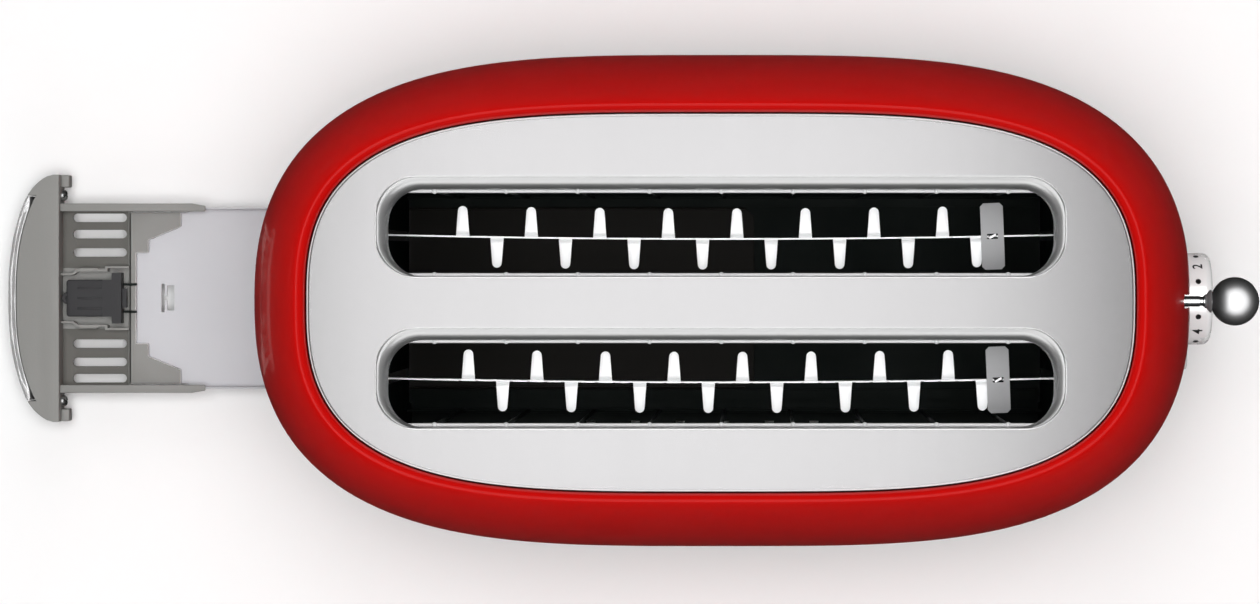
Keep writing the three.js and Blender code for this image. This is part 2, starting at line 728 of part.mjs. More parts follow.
piece("potentiometer", cut(potBody, potBore), blackPlastic);

const knobBack = shellEnd(knobHeight + knobRadius) + knobFromShell;
const knobFace = knobBack + knobDepth;
piece("dial_shaft", bar("x", boardX - 5, knobFace - 4, [0, knobHeight], knobShaftRadius), satinSteel);
const knobProfile = [
  [knobShaftRadius + gap, knobBack],
  [knobShaftRadius + 2.5, knobBack],
  [knobShaftRadius + 2.5, knobFace - 3],
  [knobRadius - 1.8, knobFace - 3],
  [knobRadius - 1.8, knobBack],
  [knobRadius, knobBack],
  [knobRadius, knobFace - 3],
  [knobRadius - 0.7, knobFace - 1],
  [knobRadius - 2.5, knobFace],
  [0, knobFace],
  [0, knobFace - 3.4],
  [knobShaftRadius + gap, knobFace - 3.4],
  [knobShaftRadius + gap, knobBack],
];
piece("dial_knob", turned(knobProfile, "x", [0, 0, knobHeight], 32), polishedChrome);

/** A push button whose face follows the casing. */
function button(z) {
  const start = boardX + boardThickness + switchDepth + buttonTravel + gap;
  const head = bar("x", start + 3, beyond, [buttonSide, z], buttonRadius, 24);
  const stem = bar("x", start, start + 4, [buttonSide, z], 2.4);
  const rings = [];
  for (let k = 0; k <= 8; k++) {
    const level = z - 2 * buttonRadius + (k * buttonRadius) / 2;
    rings.push(casingRing(shellInset(level) - buttonStand, level));
  }
  return join(head.intersect(lofted(rings)), stem);
}
buttonHeights.forEach((z, i) => piece(buttonNames[i], button(z), polishedChrome));

// ---- Crumb tray ---------------------------------------------------------------------------------

const tray = new THREE.Group();
tray.position.x = -trayPulled;
toaster.add(tray);

const trayBottom = footHeight + gap;
const trayCeiling = ringTop - gap;
const ledgeBack = trayEnd + trayHandleDepth;
const deckEnd = ledgeBack + 31;
const deckLow = trayFloor;
const deckHigh = trayFloor + 1.5;
const shelfLow = trayFloor + 1.8;
const shelfHigh = trayFloor + 3.3;
const trayRight = chamberHalf - 2;

/** The tray's plastic frame: handle, side rails, vented deck, stepped shelf, and the latch's channel. */
function trayFrame() {
  const front = ovalSlab(baseRingInset, trayBottom, trayCeiling);
  const window = box([-beyond, -trayFrontHalf, 0], [ledgeBack, trayFrontHalf, bodyHeight]);
  const pocketInset = baseRingInset + trayCover + gap;
  const pocketRing = cut(ovalSlab(-2, 0, bodyHeight), ovalSlab(pocketInset, -1, bodyHeight + 1));
  const pocketSpan = box([-beyond, -trayCoverHalf - gap, 0], [0, trayCoverHalf + gap, bodyHeight]);
  const grip = box([trayEnd + 8, -40, 0], [ledgeBack - 3, 40, trayCeiling - 5]);
  let frame = cut(front.intersect(window), pocketRing.intersect(pocketSpan), grip);
  const parts = [];
  for (const sign of [-1, 1]) {
    const ear = [sign * (trayFrontHalf - trayEarWidth), sign * trayFrontHalf].sort((a, b) => a - b);
    parts.push(box([ledgeBack - 1, ear[0], trayBottom], [ledgeBack + trayEarDepth, ear[1], trayCeiling - 7]));
    const railEnd = ledgeBack + trayRailReach;
    const wall = [sign * (trayHalf - trayRailWall), sign * trayHalf].sort((a, b) => a - b);
    parts.push(box([ledgeBack - 1, wall[0], trayFloor], [railEnd - 6, wall[1], trayFloor + trayRailTop]));
    const y0 = sign * trayHalf;
    const y1 = sign * (trayHalf - trayRailCover);
    const cover = [
      [ledgeBack - 1, y0],
      [railEnd - 6, y0],
      [railEnd, sign * (trayHalf - 1)],
      [railEnd, y1],
      [ledgeBack - 1, y1],
    ];
    const outline = sign > 0 ? cover.reverse() : cover;
    parts.push(slab(outline, trayFloor + trayRailTop - 1.2, trayFloor + trayRailTop));
  }
  const deckHalf = trayHalf - 0.6;
  parts.push(box([ledgeBack - 1, -deckHalf, deckLow], [deckEnd, deckHalf, deckHigh]));
  parts.push(box([deckEnd - 1.5, -deckHalf, deckLow], [deckEnd, deckHalf, shelfHigh]));
  const shelfHalf = trayHalf - trayRailWall - 2.6;
  const shelfNotch = shelfHalf - 6.4;
  const shelf = [
    [deckEnd - 1.5, -shelfHalf],
    [deckEnd + 22, -shelfHalf],
    [deckEnd + 22, -shelfNotch],
    [deckEnd + 7.5, -shelfNotch + 6],
    [deckEnd + 7.5, -20.3],
    [deckEnd + 2, -20.3],
    [deckEnd + 2, 20.3],
    [deckEnd + 7.5, 20.3],
    [deckEnd + 7.5, shelfNotch - 6],
    [deckEnd + 22, shelfNotch],
    [deckEnd + 22, shelfHalf],
    [deckEnd - 1.5, shelfHalf],
  ];
  parts.push(slab(shelf, shelfLow, shelfHigh));
  for (const sign of [-1, 1]) {
    const wall = [sign * channelHalf, sign * (channelHalf + 1.3)].sort((a, b) => a - b);
    parts.push(box([ledgeBack - 1, wall[0], deckLow], [deckEnd, wall[1], trayFloor + 7]));
  }
  frame = join(frame, ...parts);
  const cuts = [];
  for (const y of deckSlots)
    for (const sign of [-1, 1]) {
      const x = (ledgeBack + deckEnd) / 2 + 1;
      const half = deckSlotLength / 2;
      const wide = deckSlotWidth / 2;
      const ring = (z) => roundedRing(x - half, x + half, sign * y - wide, sign * y + wide, wide - 0.05, z);
      cuts.push(lofted([ring(trayFloor - 1), ring(deckHigh + 0.15)]));
    }
  for (const sign of [-1, 1])
    cuts.push(bar("x", ledgeBack - 5, ledgeBack + 1, [sign * (trayHalf + 3.7), trayFloor + 5], 1.5, 12));
  return cut(frame, ...cuts);
}
piece("tray_frame", trayFrame(), greyPlastic, tray);

const coverBand = cut(
  ovalSlab(baseRingInset, trayBottom + 0.6, trayCeiling - 0.6),
  ovalSlab(baseRingInset + trayCover, 0, bodyHeight),
);
const coverSpan = box([-beyond, -trayCoverHalf, 0], [0, trayCoverHalf, bodyHeight]);
piece("tray_front_cover", coverBand.intersect(coverSpan), satinSteel, tray);

/** The aluminium sheet, with its edges turned up and the hole for the latch's key. */
function traySheetSolid() {
  const half = trayHalf - trayRailWall - 0.6;
  const left = deckEnd + gap;
  const top = trayFloor + traySheet + trayFlange;
  const floor = box([left, -half, trayFloor], [trayRight, half, trayFloor + traySheet]);
  const rear = box([left + 24, half - traySheet, trayFloor], [trayRight, half, top]);
  const front = box([left + 24, -half, trayFloor], [trayRight, -half + traySheet, top]);
  const end = box([trayRight - traySheet, -half, trayFloor], [trayRight, half, top]);
  const key = box([deckEnd + 13, -6.3, 0], [deckEnd + 18.7, 6.3, bodyHeight]);
  return cut(join(floor, rear, front, end), key);
}
piece("tray_sheet", traySheetSolid(), aluminium, tray);

const latchLow = deckHigh + gap;
const latchBack = ledgeBack + 20.8;
const plateBack = ledgeBack + 23;
const pressTravel = 3;
const bodyBlock = box([ledgeBack + gap, -8.2, latchLow], [plateBack - pressTravel - 0.4, 8.2, trayFloor + 8]);
const stemRoom = box([ledgeBack + 6, -5.6, latchLow + 1.2], [plateBack, 5.6, trayFloor + 6.8]);
piece("tray_latch_body", cut(bodyBlock, stemRoom), blackPlastic, tray);
const crossPlate = box([plateBack, -11.3, latchLow], [plateBack + 4.2, 11.3, trayFloor + 9.6]);
const stem = box([ledgeBack + 10, -5.2, latchLow + 1.6], [plateBack + 1, 5.2, trayFloor + 6.4]);
const skirt = box([latchBack - 2, -8.2, trayFloor + 8 + gap], [plateBack + 1, 8.2, trayFloor + 9.2]);
const tongue = box([plateBack + 3, -4.3, trayFloor + 3.8], [plateBack + 6.2, 4.3, trayFloor + 6.8]);
piece("tray_latch_plate", join(crossPlate, stem, skirt, tongue), blackPlastic, tray);
for (const [side, y] of [["front", -6.1], ["rear", 6.1]]) {
  const wire = bar("x", plateBack + 4.2 + gap, deckEnd + 2, [y, trayFloor + 5.2], 0.5, 8);
  const hook = bar("z", trayFloor + 3.9, trayFloor + 5.2, [deckEnd + 2, y], 0.5, 8);
  piece(`tray_latch_spring_${side}`, join(wire, hook), brightWire, tray);
}

const screwProfile = [
  [0, -4],
  [1.2, -4],
  [1.2, gap],
  [2.6, gap],
  [2.4, 1.8],
  [1.2, 2.6],
  [0, 2.6],
];
for (const [side, sign] of [["front", -1], ["rear", 1]]) {
  const place = [ledgeBack, sign * (trayHalf + 3.7), trayFloor + 5];
  piece(`tray_screw_${side}`, turned(screwProfile, "x", place, 16), brightWire, tray);
}

/** A guide for the tray: an upright on the base plate with a lip over the tray's edge. */
function trayGuide(sign) {
  const near = trayHalf + trayGuideGap;
  const far = near + trayGuideWall;
  const top = trayFloor + trayRailTop + 0.5;
  const left = ledgeBack + 8;
  const span = (a, b, low, high) => {
    const [from, to] = [sign * a, sign * b].sort((p, q) => p - q);
    return box([left, from, low], [trayRight, to, high]);
  };
  return join(span(near, far, plateTop + gap, top + 1.5), span(trayHalf - 1.5, far, top, top + 1.5));
}
piece("tray_guide_front", trayGuide(-1), blackPlastic);
piece("tray_guide_rear", trayGuide(1), blackPlastic);

// ---- The whole, with its origin under the middle of everything it covers ------------------------

const leftmost = trayEnd - trayPulled;
const rightmost = ballX + ballRadius;
toaster.position.x = -(leftmost + rightmost) / 2;

export default toaster;
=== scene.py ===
"""The looks of a long-slot pop-up toaster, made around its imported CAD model.

Lengths in this script are millimetres until a mesh is made, and places come from the CAD nodes'
own boxes.
"""

import json
import logging
import math
from collections.abc import Callable, Sequence
from dataclasses import dataclass, field
from enum import Enum
from functools import cache

import bmesh
import bpy
from mathutils import Matrix, Vector
from mathutils.geometry import delaunay_2d_cdt

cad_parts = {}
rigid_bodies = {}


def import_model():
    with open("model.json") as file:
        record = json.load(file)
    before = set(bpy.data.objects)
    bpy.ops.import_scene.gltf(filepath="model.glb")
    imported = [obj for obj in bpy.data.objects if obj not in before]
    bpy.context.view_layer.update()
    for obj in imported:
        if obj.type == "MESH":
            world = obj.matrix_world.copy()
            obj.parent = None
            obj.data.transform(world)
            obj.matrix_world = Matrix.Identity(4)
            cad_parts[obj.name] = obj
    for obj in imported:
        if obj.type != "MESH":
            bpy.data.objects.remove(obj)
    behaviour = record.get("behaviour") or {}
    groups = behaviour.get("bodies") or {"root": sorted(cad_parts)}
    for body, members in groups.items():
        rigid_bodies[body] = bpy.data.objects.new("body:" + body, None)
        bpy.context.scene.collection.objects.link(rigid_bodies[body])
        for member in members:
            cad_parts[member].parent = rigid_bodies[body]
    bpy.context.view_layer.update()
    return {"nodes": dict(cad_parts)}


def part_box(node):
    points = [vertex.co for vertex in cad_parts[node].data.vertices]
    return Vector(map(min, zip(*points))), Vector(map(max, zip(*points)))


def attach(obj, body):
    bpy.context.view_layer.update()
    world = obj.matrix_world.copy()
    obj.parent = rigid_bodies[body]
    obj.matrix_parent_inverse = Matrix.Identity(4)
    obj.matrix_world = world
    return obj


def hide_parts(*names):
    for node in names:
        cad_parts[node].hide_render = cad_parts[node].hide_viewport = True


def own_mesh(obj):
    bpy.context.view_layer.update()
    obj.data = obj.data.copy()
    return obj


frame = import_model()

log = logging.getLogger("toaster")
MM = 0.001
QUARTER = math.pi / 2
Pair = tuple[float, float]
Triple = tuple[float, float, float]
Ring = list[Vector]


def span(node: str) -> tuple[Vector, Vector]:
    """The lowest and highest corners of a CAD node, in millimetres."""
    low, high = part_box(node)
    return low / MM, high / MM


class Body(Enum):
    """The rigid bodies that pieces ride on."""

    HOUSING = "housing"
    CARRIAGE = "carriage"
    DIAL = "dial"
    TRAY = "tray"


# ---- Nodes --------------------------------------------------------------------------------------


class Graph:
    """A node tree, with a short way to add nodes to it and to join them."""

    def __init__(self, tree: bpy.types.NodeTree) -> None:
        """Takes up a tree."""
        self.tree = tree

    def fill(self, node: bpy.types.Node, inputs: dict[str | int, object]) -> None:
        """Joins or sets a node's inputs.

        Args:
            node: the node.
            inputs: a value, a socket, or a node whose first output is meant, for each input.
        """
        for key, value in inputs.items():
            if isinstance(value, bpy.types.Node):
                value = value.outputs[0]
            if isinstance(value, bpy.types.NodeSocket):
                self.tree.links.new(value, node.inputs[key])
            else:
                node.inputs[key].default_value = value

    def node(
        self, kind: str, inputs: dict[str | int, object] | None = None, **settings: object
    ) -> bpy.types.Node:
        """Adds a node.

        Args:
            kind: its type.
            inputs: what its inputs are joined or set to.
            settings: its properties.

        Returns:
            The node.
        """
        made = self.tree.nodes.new(kind)
        for key, value in settings.items():
            setattr(made, key, value)
        self.fill(made, inputs or {})
        return made

    def math(self, operation: str, *values: object) -> bpy.types.Node:
        """A math node on sockets, nodes and numbers."""
        return self.node("ShaderNodeMath", dict(enumerate(values)), operation=operation)

    def vector(self, x: object = 0.0, y: object = 0.0, z: object = 0.0) -> bpy.types.Node:
        """A vector from sockets, nodes and numbers."""
        return self.node("ShaderNodeCombineXYZ", {0: x, 1: y, 2: z})

    def mixed(self, mask: object, color: object, other: object) -> bpy.types.NodeSocket:
        """A colour that turns into another by a mask from 0 to 1."""
        inputs = {"Factor": mask, "A": color, "B": other}
        return self.node("ShaderNodeMix", inputs, data_type="RGBA").outputs["Result"]

    def effect(
        self, tree: bpy.types.NodeTree, place: object, **sizes: float
    ) -> bpy.types.bpy_prop_collection:
        """Places a shared effect.

        Args:
            tree: the effect's group.
            place: the coordinates that it reads.
            sizes: the value of each of its number inputs.

        Returns:
            The group's outputs.
        """
        return self.node("ShaderNodeGroup", {"Vector": place, **sizes}, node_tree=tree).outputs


class Effect(Graph):
    """A shader node group that several finishes share."""

    def __init__(self, name: str, inputs: dict[str, float], outputs: Sequence[str]) -> None:
        """Starts a group with a vector input, named number inputs and number outputs.

        Args:
            name: the group's name.
            inputs: the default of each number input.
            outputs: the names of the number outputs.
        """
        super().__init__(bpy.data.node_groups.new(name, "ShaderNodeTree"))
        face = self.tree.interface
        face.new_socket("Vector", in_out="INPUT", socket_type="NodeSocketVector")
        for key, value in inputs.items():
            made = face.new_socket(key, in_out="INPUT", socket_type="NodeSocketFloat")
            made.default_value = value
        for key in outputs:
            face.new_socket(key, in_out="OUTPUT", socket_type="NodeSocketFloat")
        self.given = self.node("NodeGroupInput").outputs
        self.end = self.node("NodeGroupOutput")

    def noise(self, place: object, scale: object, **more: float) -> bpy.types.NodeSocket:
        """Noise at a place: its inputs are a scale and any others that aren't at their default."""
        inputs = {"Vector": place, "Scale": scale, **more}
        return self.node("ShaderNodeTexNoise", inputs).outputs["Fac"]


@cache
def brushing() -> bpy.types.NodeTree:
    """Fine straight scratches along Y: their height, and a roughness that follows them."""
    sizes = {"Fineness": 900.0, "Roughness": 0.3, "Spread": 0.1}
    made = Effect("brushing", sizes, ["Height", "Roughness"])
    given = made.given
    along = {"Vector": given["Vector"], "Scale": (1.0, 0.012, 1.0)}
    stretch = made.node("ShaderNodeMapping", along)
    noise = made.noise(stretch, given["Fineness"], Detail=4.0)
    centred = made.math("SUBTRACT", noise, 0.5)
    gloss = made.math("MULTIPLY_ADD", centred, given["Spread"], given["Roughness"])
    made.fill(made.end, {"Height": noise, "Roughness": gloss})
    return made.tree


@cache
def grain() -> bpy.types.NodeTree:
    """The height of the fine sparked grain of a moulding or a casting."""
    made = Effect("grain", {"Fineness": 1800.0}, ["Height"])
    place, fineness = made.given["Vector"], made.given["Fineness"]
    cells = {"Vector": place, "Scale": made.math("MULTIPLY", fineness, 0.5)}
    noise = made.noise(place, fineness, Detail=3.0)
    height = made.math("MULTIPLY", noise, made.node("ShaderNodeTexVoronoi", cells))
    made.fill(made.end, {"Height": height})
    return made.tree


@cache
def handling() -> bpy.types.NodeTree:
    """Slow changes over a surface, as handling and heating leave them: a value from low to high."""
    made = Effect("handling", {"Size": 18.0, "Low": 0.2, "High": 0.3}, ["Value"])
    given = made.given
    noise = made.noise(given["Vector"], given["Size"], Detail=6.0, Roughness=0.62)
    ends = {"From Min": 0.32, "From Max": 0.68, "To Min": given["Low"], "To Max": given["High"]}
    made.fill(made.end, {"Value": made.node("ShaderNodeMapRange", {"Value": noise, **ends})})
    return made.tree


@cache
def heat() -> bpy.types.NodeTree:
    """A painted shade mask: how far a surface runs in under the casing, from 0 to 1 along X, with
    an uneven front.
    """
    made = Effect("heat", {"Start": 0.0, "End": 1.0}, ["Mask"])
    given = made.given
    along = made.node("ShaderNodeSeparateXYZ", {0: given["Vector"]}).outputs["X"]
    uneven = made.math("MULTIPLY_ADD", made.noise(given["Vector"], 26.0), 0.012, along)
    inputs = {"Value": uneven, "From Min": given["Start"], "From Max": given["End"]}
    ramp = made.node("ShaderNodeMapRange", inputs, interpolation_type="SMOOTHSTEP")
    made.fill(made.end, {"Mask": ramp})
    return made.tree


# ---- Finishes -----------------------------------------------------------------------------------


class Texture(Enum):
    """What a finish's surface is like up close."""

    BRUSHED = "brushed"
    GRAINED = "grained"


@dataclass(frozen=True)
class Finish:
    """One finish: its colour and gloss, and the fine relief that the light catches.

    Attributes:
        name: the material's name, and the slot of the record it stands for.
        color: linear red, green and blue.
        second: the colour it drifts to in patches.
        roughness: the lowest and highest roughness.
        fineness: how fine the relief is.
        relief: how strongly the relief shows.
        texture: the kind of relief.
        metallic: 0 for paint and plastic, 1 for bare metal.
        specular: how strongly it mirrors head-on, where 0.5 is a usual plastic.
        coat: the weight of a clear gloss coat.
        edge: how much a painted shade darkens it where it turns away from the eye.
        heat: where along X, in metres, the painted shade for the shade under the casing starts, and
            where it is darkest.
    """

    name: str
    color: Triple
    second: Triple
    roughness: Pair
    fineness: float
    relief: float
    texture: Texture = Texture.GRAINED
    metallic: float = 0.0
    specular: float = 0.5
    coat: float = 0.0
    edge: float = 0.0
    heat: Pair | None = None

    COAT_ROUGHNESS = 0.04
    PATCH_SIZE = 9.0
    GLOSS_SIZE = 30.0
    RELIEF_DEPTH = 0.0002
    # The tone of the painted shade under the casing.
    BROWNED = (0.020, 0.018, 0.016, 1.0)
    TURNED_AWAY = (0.05, 0.05, 0.05, 1.0)

    def material(self) -> bpy.types.Material:
        """The finish as a material, made the first time it is asked for."""
        name = f"{self.name}_finish"
        found = bpy.data.materials.get(name)
        if found:
            return found
        made = bpy.data.materials.new(name)
        made.use_nodes = True
        graph = Graph(made.node_tree)
        place = graph.node("ShaderNodeTexCoord").outputs["Object"]
        patches = graph.effect(handling(), place, Size=self.PATCH_SIZE, Low=0.0, High=1.0)["Value"]
        color = graph.mixed(patches, (*self.color, 1.0), (*self.second, 1.0))
        # Painted shade: the colour darkens along X towards a dark tone, for the shade under the
        # casing.
        if self.heat:
            start, end = self.heat
            shade_mask = graph.effect(heat(), place, Start=start, End=end)["Mask"]
            color = graph.mixed(shade_mask, color, self.BROWNED)
        # Painted shade: the colour darkens towards the rims, where the surface turns away from the
        # camera.
        if self.edge:
            turned = graph.node("ShaderNodeLayerWeight", {"Blend": self.edge})
            color = graph.mixed(turned.outputs["Facing"], color, self.TURNED_AWAY)
        low, high = self.roughness
        if self.texture is Texture.BRUSHED:
            sizes = {"Fineness": self.fineness, "Roughness": (low + high) / 2, "Spread": high - low}
            relief = graph.effect(brushing(), place, **sizes)
            gloss = relief["Roughness"]
        else:
            relief = graph.effect(grain(), place, Fineness=self.fineness)
            sizes = {"Size": self.GLOSS_SIZE, "Low": low, "High": high}
            gloss = graph.effect(handling(), place, **sizes)["Value"]
        bump = {"Strength": self.relief, "Distance": self.RELIEF_DEPTH, "Height": relief["Height"]}
        shader = {
            "Base Color": color,
            "Metallic": self.metallic,
            "Roughness": gloss,
            "Specular IOR Level": self.specular,
            "Coat Weight": self.coat,
            "Coat Roughness": self.COAT_ROUGHNESS,
            "Normal": graph.node("ShaderNodeBump", bump),
        }
        graph.fill(made.node_tree.nodes["Principled BSDF"], shader)
        return made


def even(value: float) -> Triple:
    """A neutral grey."""
    return value, value, value


BRUSHED = Texture.BRUSHED
RED = Finish(
    "red_enamel", (0.44, 0.0022, 0.0016), (0.47, 0.0028, 0.0020),
    (0.30, 0.36), 260, 0.02, specular=0.06, coat=0.40,
)
PANEL = Finish(
    "satin_steel", (0.86, 0.85, 0.86), (0.88, 0.87, 0.88),
    (0.22, 0.28), 700, 0.015, BRUSHED, 0.94, 0.1,
)
LIP = Finish("rolled_steel", even(0.86), even(0.9), (0.30, 0.36), 700, 0.004, BRUSHED, 0.88, 0.1)
# A whiter, less metallic finish for rounded rims: a painted highlight line.
HIGHLIGHT_EDGE = Finish("polished_edge", even(0.92), even(0.95), (0.3, 0.4), 900, 0.02, BRUSHED, 0.3)
RACK = Finish("bright_wire", (0.94, 0.95, 0.96), even(0.98), (0.3, 0.42), 900, 0.05, metallic=0.2)
PLATE = Finish(
    "brushed_plate", (0.50, 0.50, 0.51), (0.55, 0.55, 0.56), (0.3, 0.42), 1400, 0.06, BRUSHED, 0.3
)
# Its edge gives a painted shade on the rims that turn away from the camera.
CHROME = Finish(
    "chrome", (0.92, 0.92, 0.93), even(0.94), (0.18, 0.24), 300, 0.01, metallic=1.0, edge=0.32
)
# Its edge gives a painted shade on the rim that turns away from the camera.
BALL = Finish(
    "polished_ball", (0.93, 0.93, 0.94), even(0.95),
    (0.38, 0.42), 300, 0.005, metallic=1.0, edge=0.30,
)
BRIGHT = Finish(
    "bright_trim", (0.84, 0.84, 0.85), even(0.88), (0.2, 0.28), 900, 0.02, BRUSHED, 0.75
)
DARK = Finish(
    "dark_steel", (0.012, 0.016, 0.015), (0.02, 0.025, 0.023), (0.5, 0.7), 1100, 0.2, metallic=0.4
)
# Painted shade: the chamber lining is near black, standing for the shade inside the chambers.
LINING_SHADE = Finish(
    "reflector_sheet", (0.010, 0.014, 0.013), (0.016, 0.020, 0.018),
    (0.5, 0.65), 500, 0.1, BRUSHED, 0.2, 0.1,
)
GREY = Finish(
    "grey_plastic", (0.225, 0.225, 0.215), (0.24, 0.24, 0.23),
    (0.42, 0.52), 2200, 0.2, specular=0.35,
)
# The tray's grey plastic, darker as a painted shade for the sunk vented deck.
RECESS_SHADE = Finish(
    "grey_recess", (0.115, 0.113, 0.104), (0.125, 0.123, 0.114),
    (0.5, 0.6), 2200, 0.2, specular=0.2,
)
BLACK = Finish(
    "black_plastic", (0.030, 0.030, 0.032), (0.038, 0.038, 0.040),
    (0.4, 0.52), 2000, 0.25, specular=0.3,
)
COLLAR = Finish("collar_plastic", (0.10, 0.10, 0.102), (0.12, 0.12, 0.122), (0.3, 0.38), 2000, 0.1)
# Painted shade: the sheet darkens along X where it runs in under the casing.
SHEET = Finish(
    "aluminium_sheet", (0.50, 0.505, 0.53), (0.53, 0.535, 0.56),
    (0.4, 0.5), 420, 0.02, BRUSHED, 0.12, 0.2, heat=(-0.142, -0.100),
)
RUBBER = Finish("rubber", even(0.012), even(0.02), (0.75, 0.9), 1500, 0.4)
MICA = Finish(
    "mica", (0.020, 0.022, 0.021), (0.032, 0.033, 0.031), (0.45, 0.65), 240, 0.3, metallic=0.1
)
RIBBON = Finish(
    "heating_ribbon", (0.05, 0.047, 0.045), (0.075, 0.068, 0.06),
    (0.4, 0.55), 800, 0.2, metallic=0.9,
)
BOARD = Finish("board", (0.012, 0.09, 0.04), (0.014, 0.10, 0.05), (0.3, 0.4), 1200, 0.15)
COIL = Finish(
    "copper_coil", (0.25, 0.09, 0.035), (0.30, 0.12, 0.05), (0.3, 0.45), 1600, 0.4, BRUSHED, 0.6
)
PRINT = Finish("black_print", even(0.012), even(0.016), (0.4, 0.5), 2500, 0.05)
RIM = Finish("dial_silver", even(0.90), even(0.94), (0.22, 0.3), 1200, 0.03, metallic=0.35)
FLOOR = Finish("pale_floor", even(0.86), even(0.87), (0.7, 0.8), 400, 0.02)


# ---- Mesh making --------------------------------------------------------------------------------


class Shop:
    """The ways in which pieces are shaped. Everything goes in as millimetres."""

    AXES = {
        "x": (Vector((1, 0, 0)), Vector((0, 1, 0)), Vector((0, 0, 1))),
        "z": (Vector((0, 0, 1)), Vector((1, 0, 0)), Vector((0, 1, 0))),
    }

    @staticmethod
    def shown(name: str, data: bpy.types.ID) -> bpy.types.Object:
        """Puts a mesh or another shape in the scene as an object."""
        made = bpy.data.objects.new(name, data)
        bpy.context.scene.collection.objects.link(made)
        return made

    @classmethod
    def blank(
        cls, name: str, points: Sequence[Vector], faces: Sequence[Sequence[int]]
    ) -> bpy.types.Object:
        """A mesh object at the origin from points in millimetres and faces."""
        mesh = bpy.data.meshes.new(name)
        mesh.from_pydata([tuple(p * MM) for p in points], [], [tuple(f) for f in faces])
        return cls.shown(name, mesh)

    @staticmethod
    def tidied(made: bpy.types.Object, gap: float = 1e-6) -> bpy.types.Object:
        """Merges points closer than a gap in metres, and turns a mesh's faces outwards."""
        work = bmesh.new()
        work.from_mesh(made.data)
        bmesh.ops.remove_doubles(work, verts=work.verts, dist=gap)
        bmesh.ops.recalc_face_normals(work, faces=work.faces)
        work.to_mesh(made.data)
        work.free()
        return made

    @staticmethod
    def bands(rings: Sequence[Ring], is_round: bool, start: int = 0) -> list[tuple[int, ...]]:
        """The faces between rings whose points are numbered in turn.

        Args:
            rings: rings with the same number of points.
            is_round: joins the last ring to the first as well.
            start: the number of the first point.

        Returns:
            The faces as point numbers.
        """
        count = len(rings[0])
        faces = []
        for r in range(len(rings) if is_round else len(rings) - 1):
            here, there = start + r * count, start + ((r + 1) % len(rings)) * count
            for i in range(count):
                j = (i + 1) % count
                faces.append((here + i, here + j, there + j, there + i))
        return faces

    @classmethod
    def skinned(cls, name: str, rings: Sequence[Ring], is_round: bool = False) -> bpy.types.Object:
        """A skin through rings of points.

        Args:
            name: the object's name.
            rings: rings with the same number of points.
            is_round: joins the last ring to the first; otherwise both ends are capped.

        Returns:
            The closed shape.
        """
        count = len(rings[0])
        faces = cls.bands(rings, is_round)
        if not is_round:
            faces.append(tuple(range(count))[::-1])
            faces.append(tuple((len(rings) - 1) * count + i for i in range(count)))
        return cls.tidied(cls.blank(name, [p for ring in rings for p in ring], faces))

    @classmethod
    def turned(
        cls, name: str, profile: Sequence[Pair], axis: str, at: Vector, steps: int = 96
    ) -> bpy.types.Object:
        """A turned shape from (radius, along) pairs, about an axis through a point.

        Args:
            name: the object's name.
            profile: starts and ends on the axis, or closes on itself.
            axis: "x" or "z".
            at: where along = 0 lies on the axis.
            steps: how many sides.

        Returns:
            The closed shape.
        """
        ahead, side, up = cls.AXES[axis]
        turns = [2 * math.pi * k / steps for k in range(steps)]
        rings = []
        for radius, along in profile:
            middle = at + ahead * along
            rings.append([middle + (side * math.cos(t) + up * math.sin(t)) * radius for t in turns])
        faces = cls.bands(rings, profile[0][0] > 1e-9)
        return cls.tidied(cls.blank(name, [p for ring in rings for p in ring], faces))

    @classmethod
    def prism(cls, name: str, outline: Sequence[Pair], low: float, high: float) -> bpy.types.Object:
        """An upright prism from an outline in X and Y."""
        return cls.skinned(name, [[Vector((x, y, z)) for x, y in outline] for z in (low, high)])

    @classmethod
    def block(cls, name: str, low: Sequence[float], high: Sequence[float]) -> bpy.types.Object:
        """An upright block between two corners."""
        outline = [(low[0], low[1]), (high[0], low[1]), (high[0], high[1]), (low[0], high[1])]
        return cls.prism(name, outline, low[2], high[2])

    @staticmethod
    def plain(shape: bpy.types.Object) -> bpy.types.Mesh:
        """A new plain mesh of an object as its modifiers or its curve make it."""
        ready = shape.evaluated_get(bpy.context.evaluated_depsgraph_get())
        return bpy.data.meshes.new_from_object(ready)

    @classmethod
    def baked(cls, made: bpy.types.Object) -> bpy.types.Object:
        """Turns an object's modifiers into its plain mesh."""
        mesh = cls.plain(made)
        made.modifiers.clear()
        made.data = mesh
        mesh.name = made.name
        return made

    @classmethod
    def cut(cls, made: bpy.types.Object, *cutters: bpy.types.Object) -> bpy.types.Object:
        """Cuts others from an object, and uses them up."""
        for other in cutters:
            step = made.modifiers.new("cut", "BOOLEAN")
            step.operation = "DIFFERENCE"
            step.solver = "EXACT"
            step.object = other
        cls.baked(made)
        for other in cutters:
            bpy.data.objects.remove(other)
        return made

    @classmethod
    def rounded(
        cls, made: bpy.types.Object, width: float, segments: int = 3, angle: float = 30
    ) -> bpy.types.Object:
        """Rounds an object's edges that are sharper than an angle by a width in millimetres."""
        step = made.modifiers.new("round", "BEVEL")
        step.width = width * MM
        step.segments = segments
        step.limit_method = "ANGLE"
        step.angle_limit = math.radians(angle)
        return cls.baked(made)

    @staticmethod
    def joined(first: bpy.types.Object, *others: bpy.types.Object) -> bpy.types.Object:
        """Puts several meshes together as one piece, without cutting them into each other."""
        work = bmesh.new()
        for part in (first, *others):
            work.from_mesh(part.data)
        bmesh.ops.recalc_face_normals(work, faces=work.faces)
        work.to_mesh(first.data)
        work.free()
        for part in others:
            bpy.data.objects.remove(part)
        return first

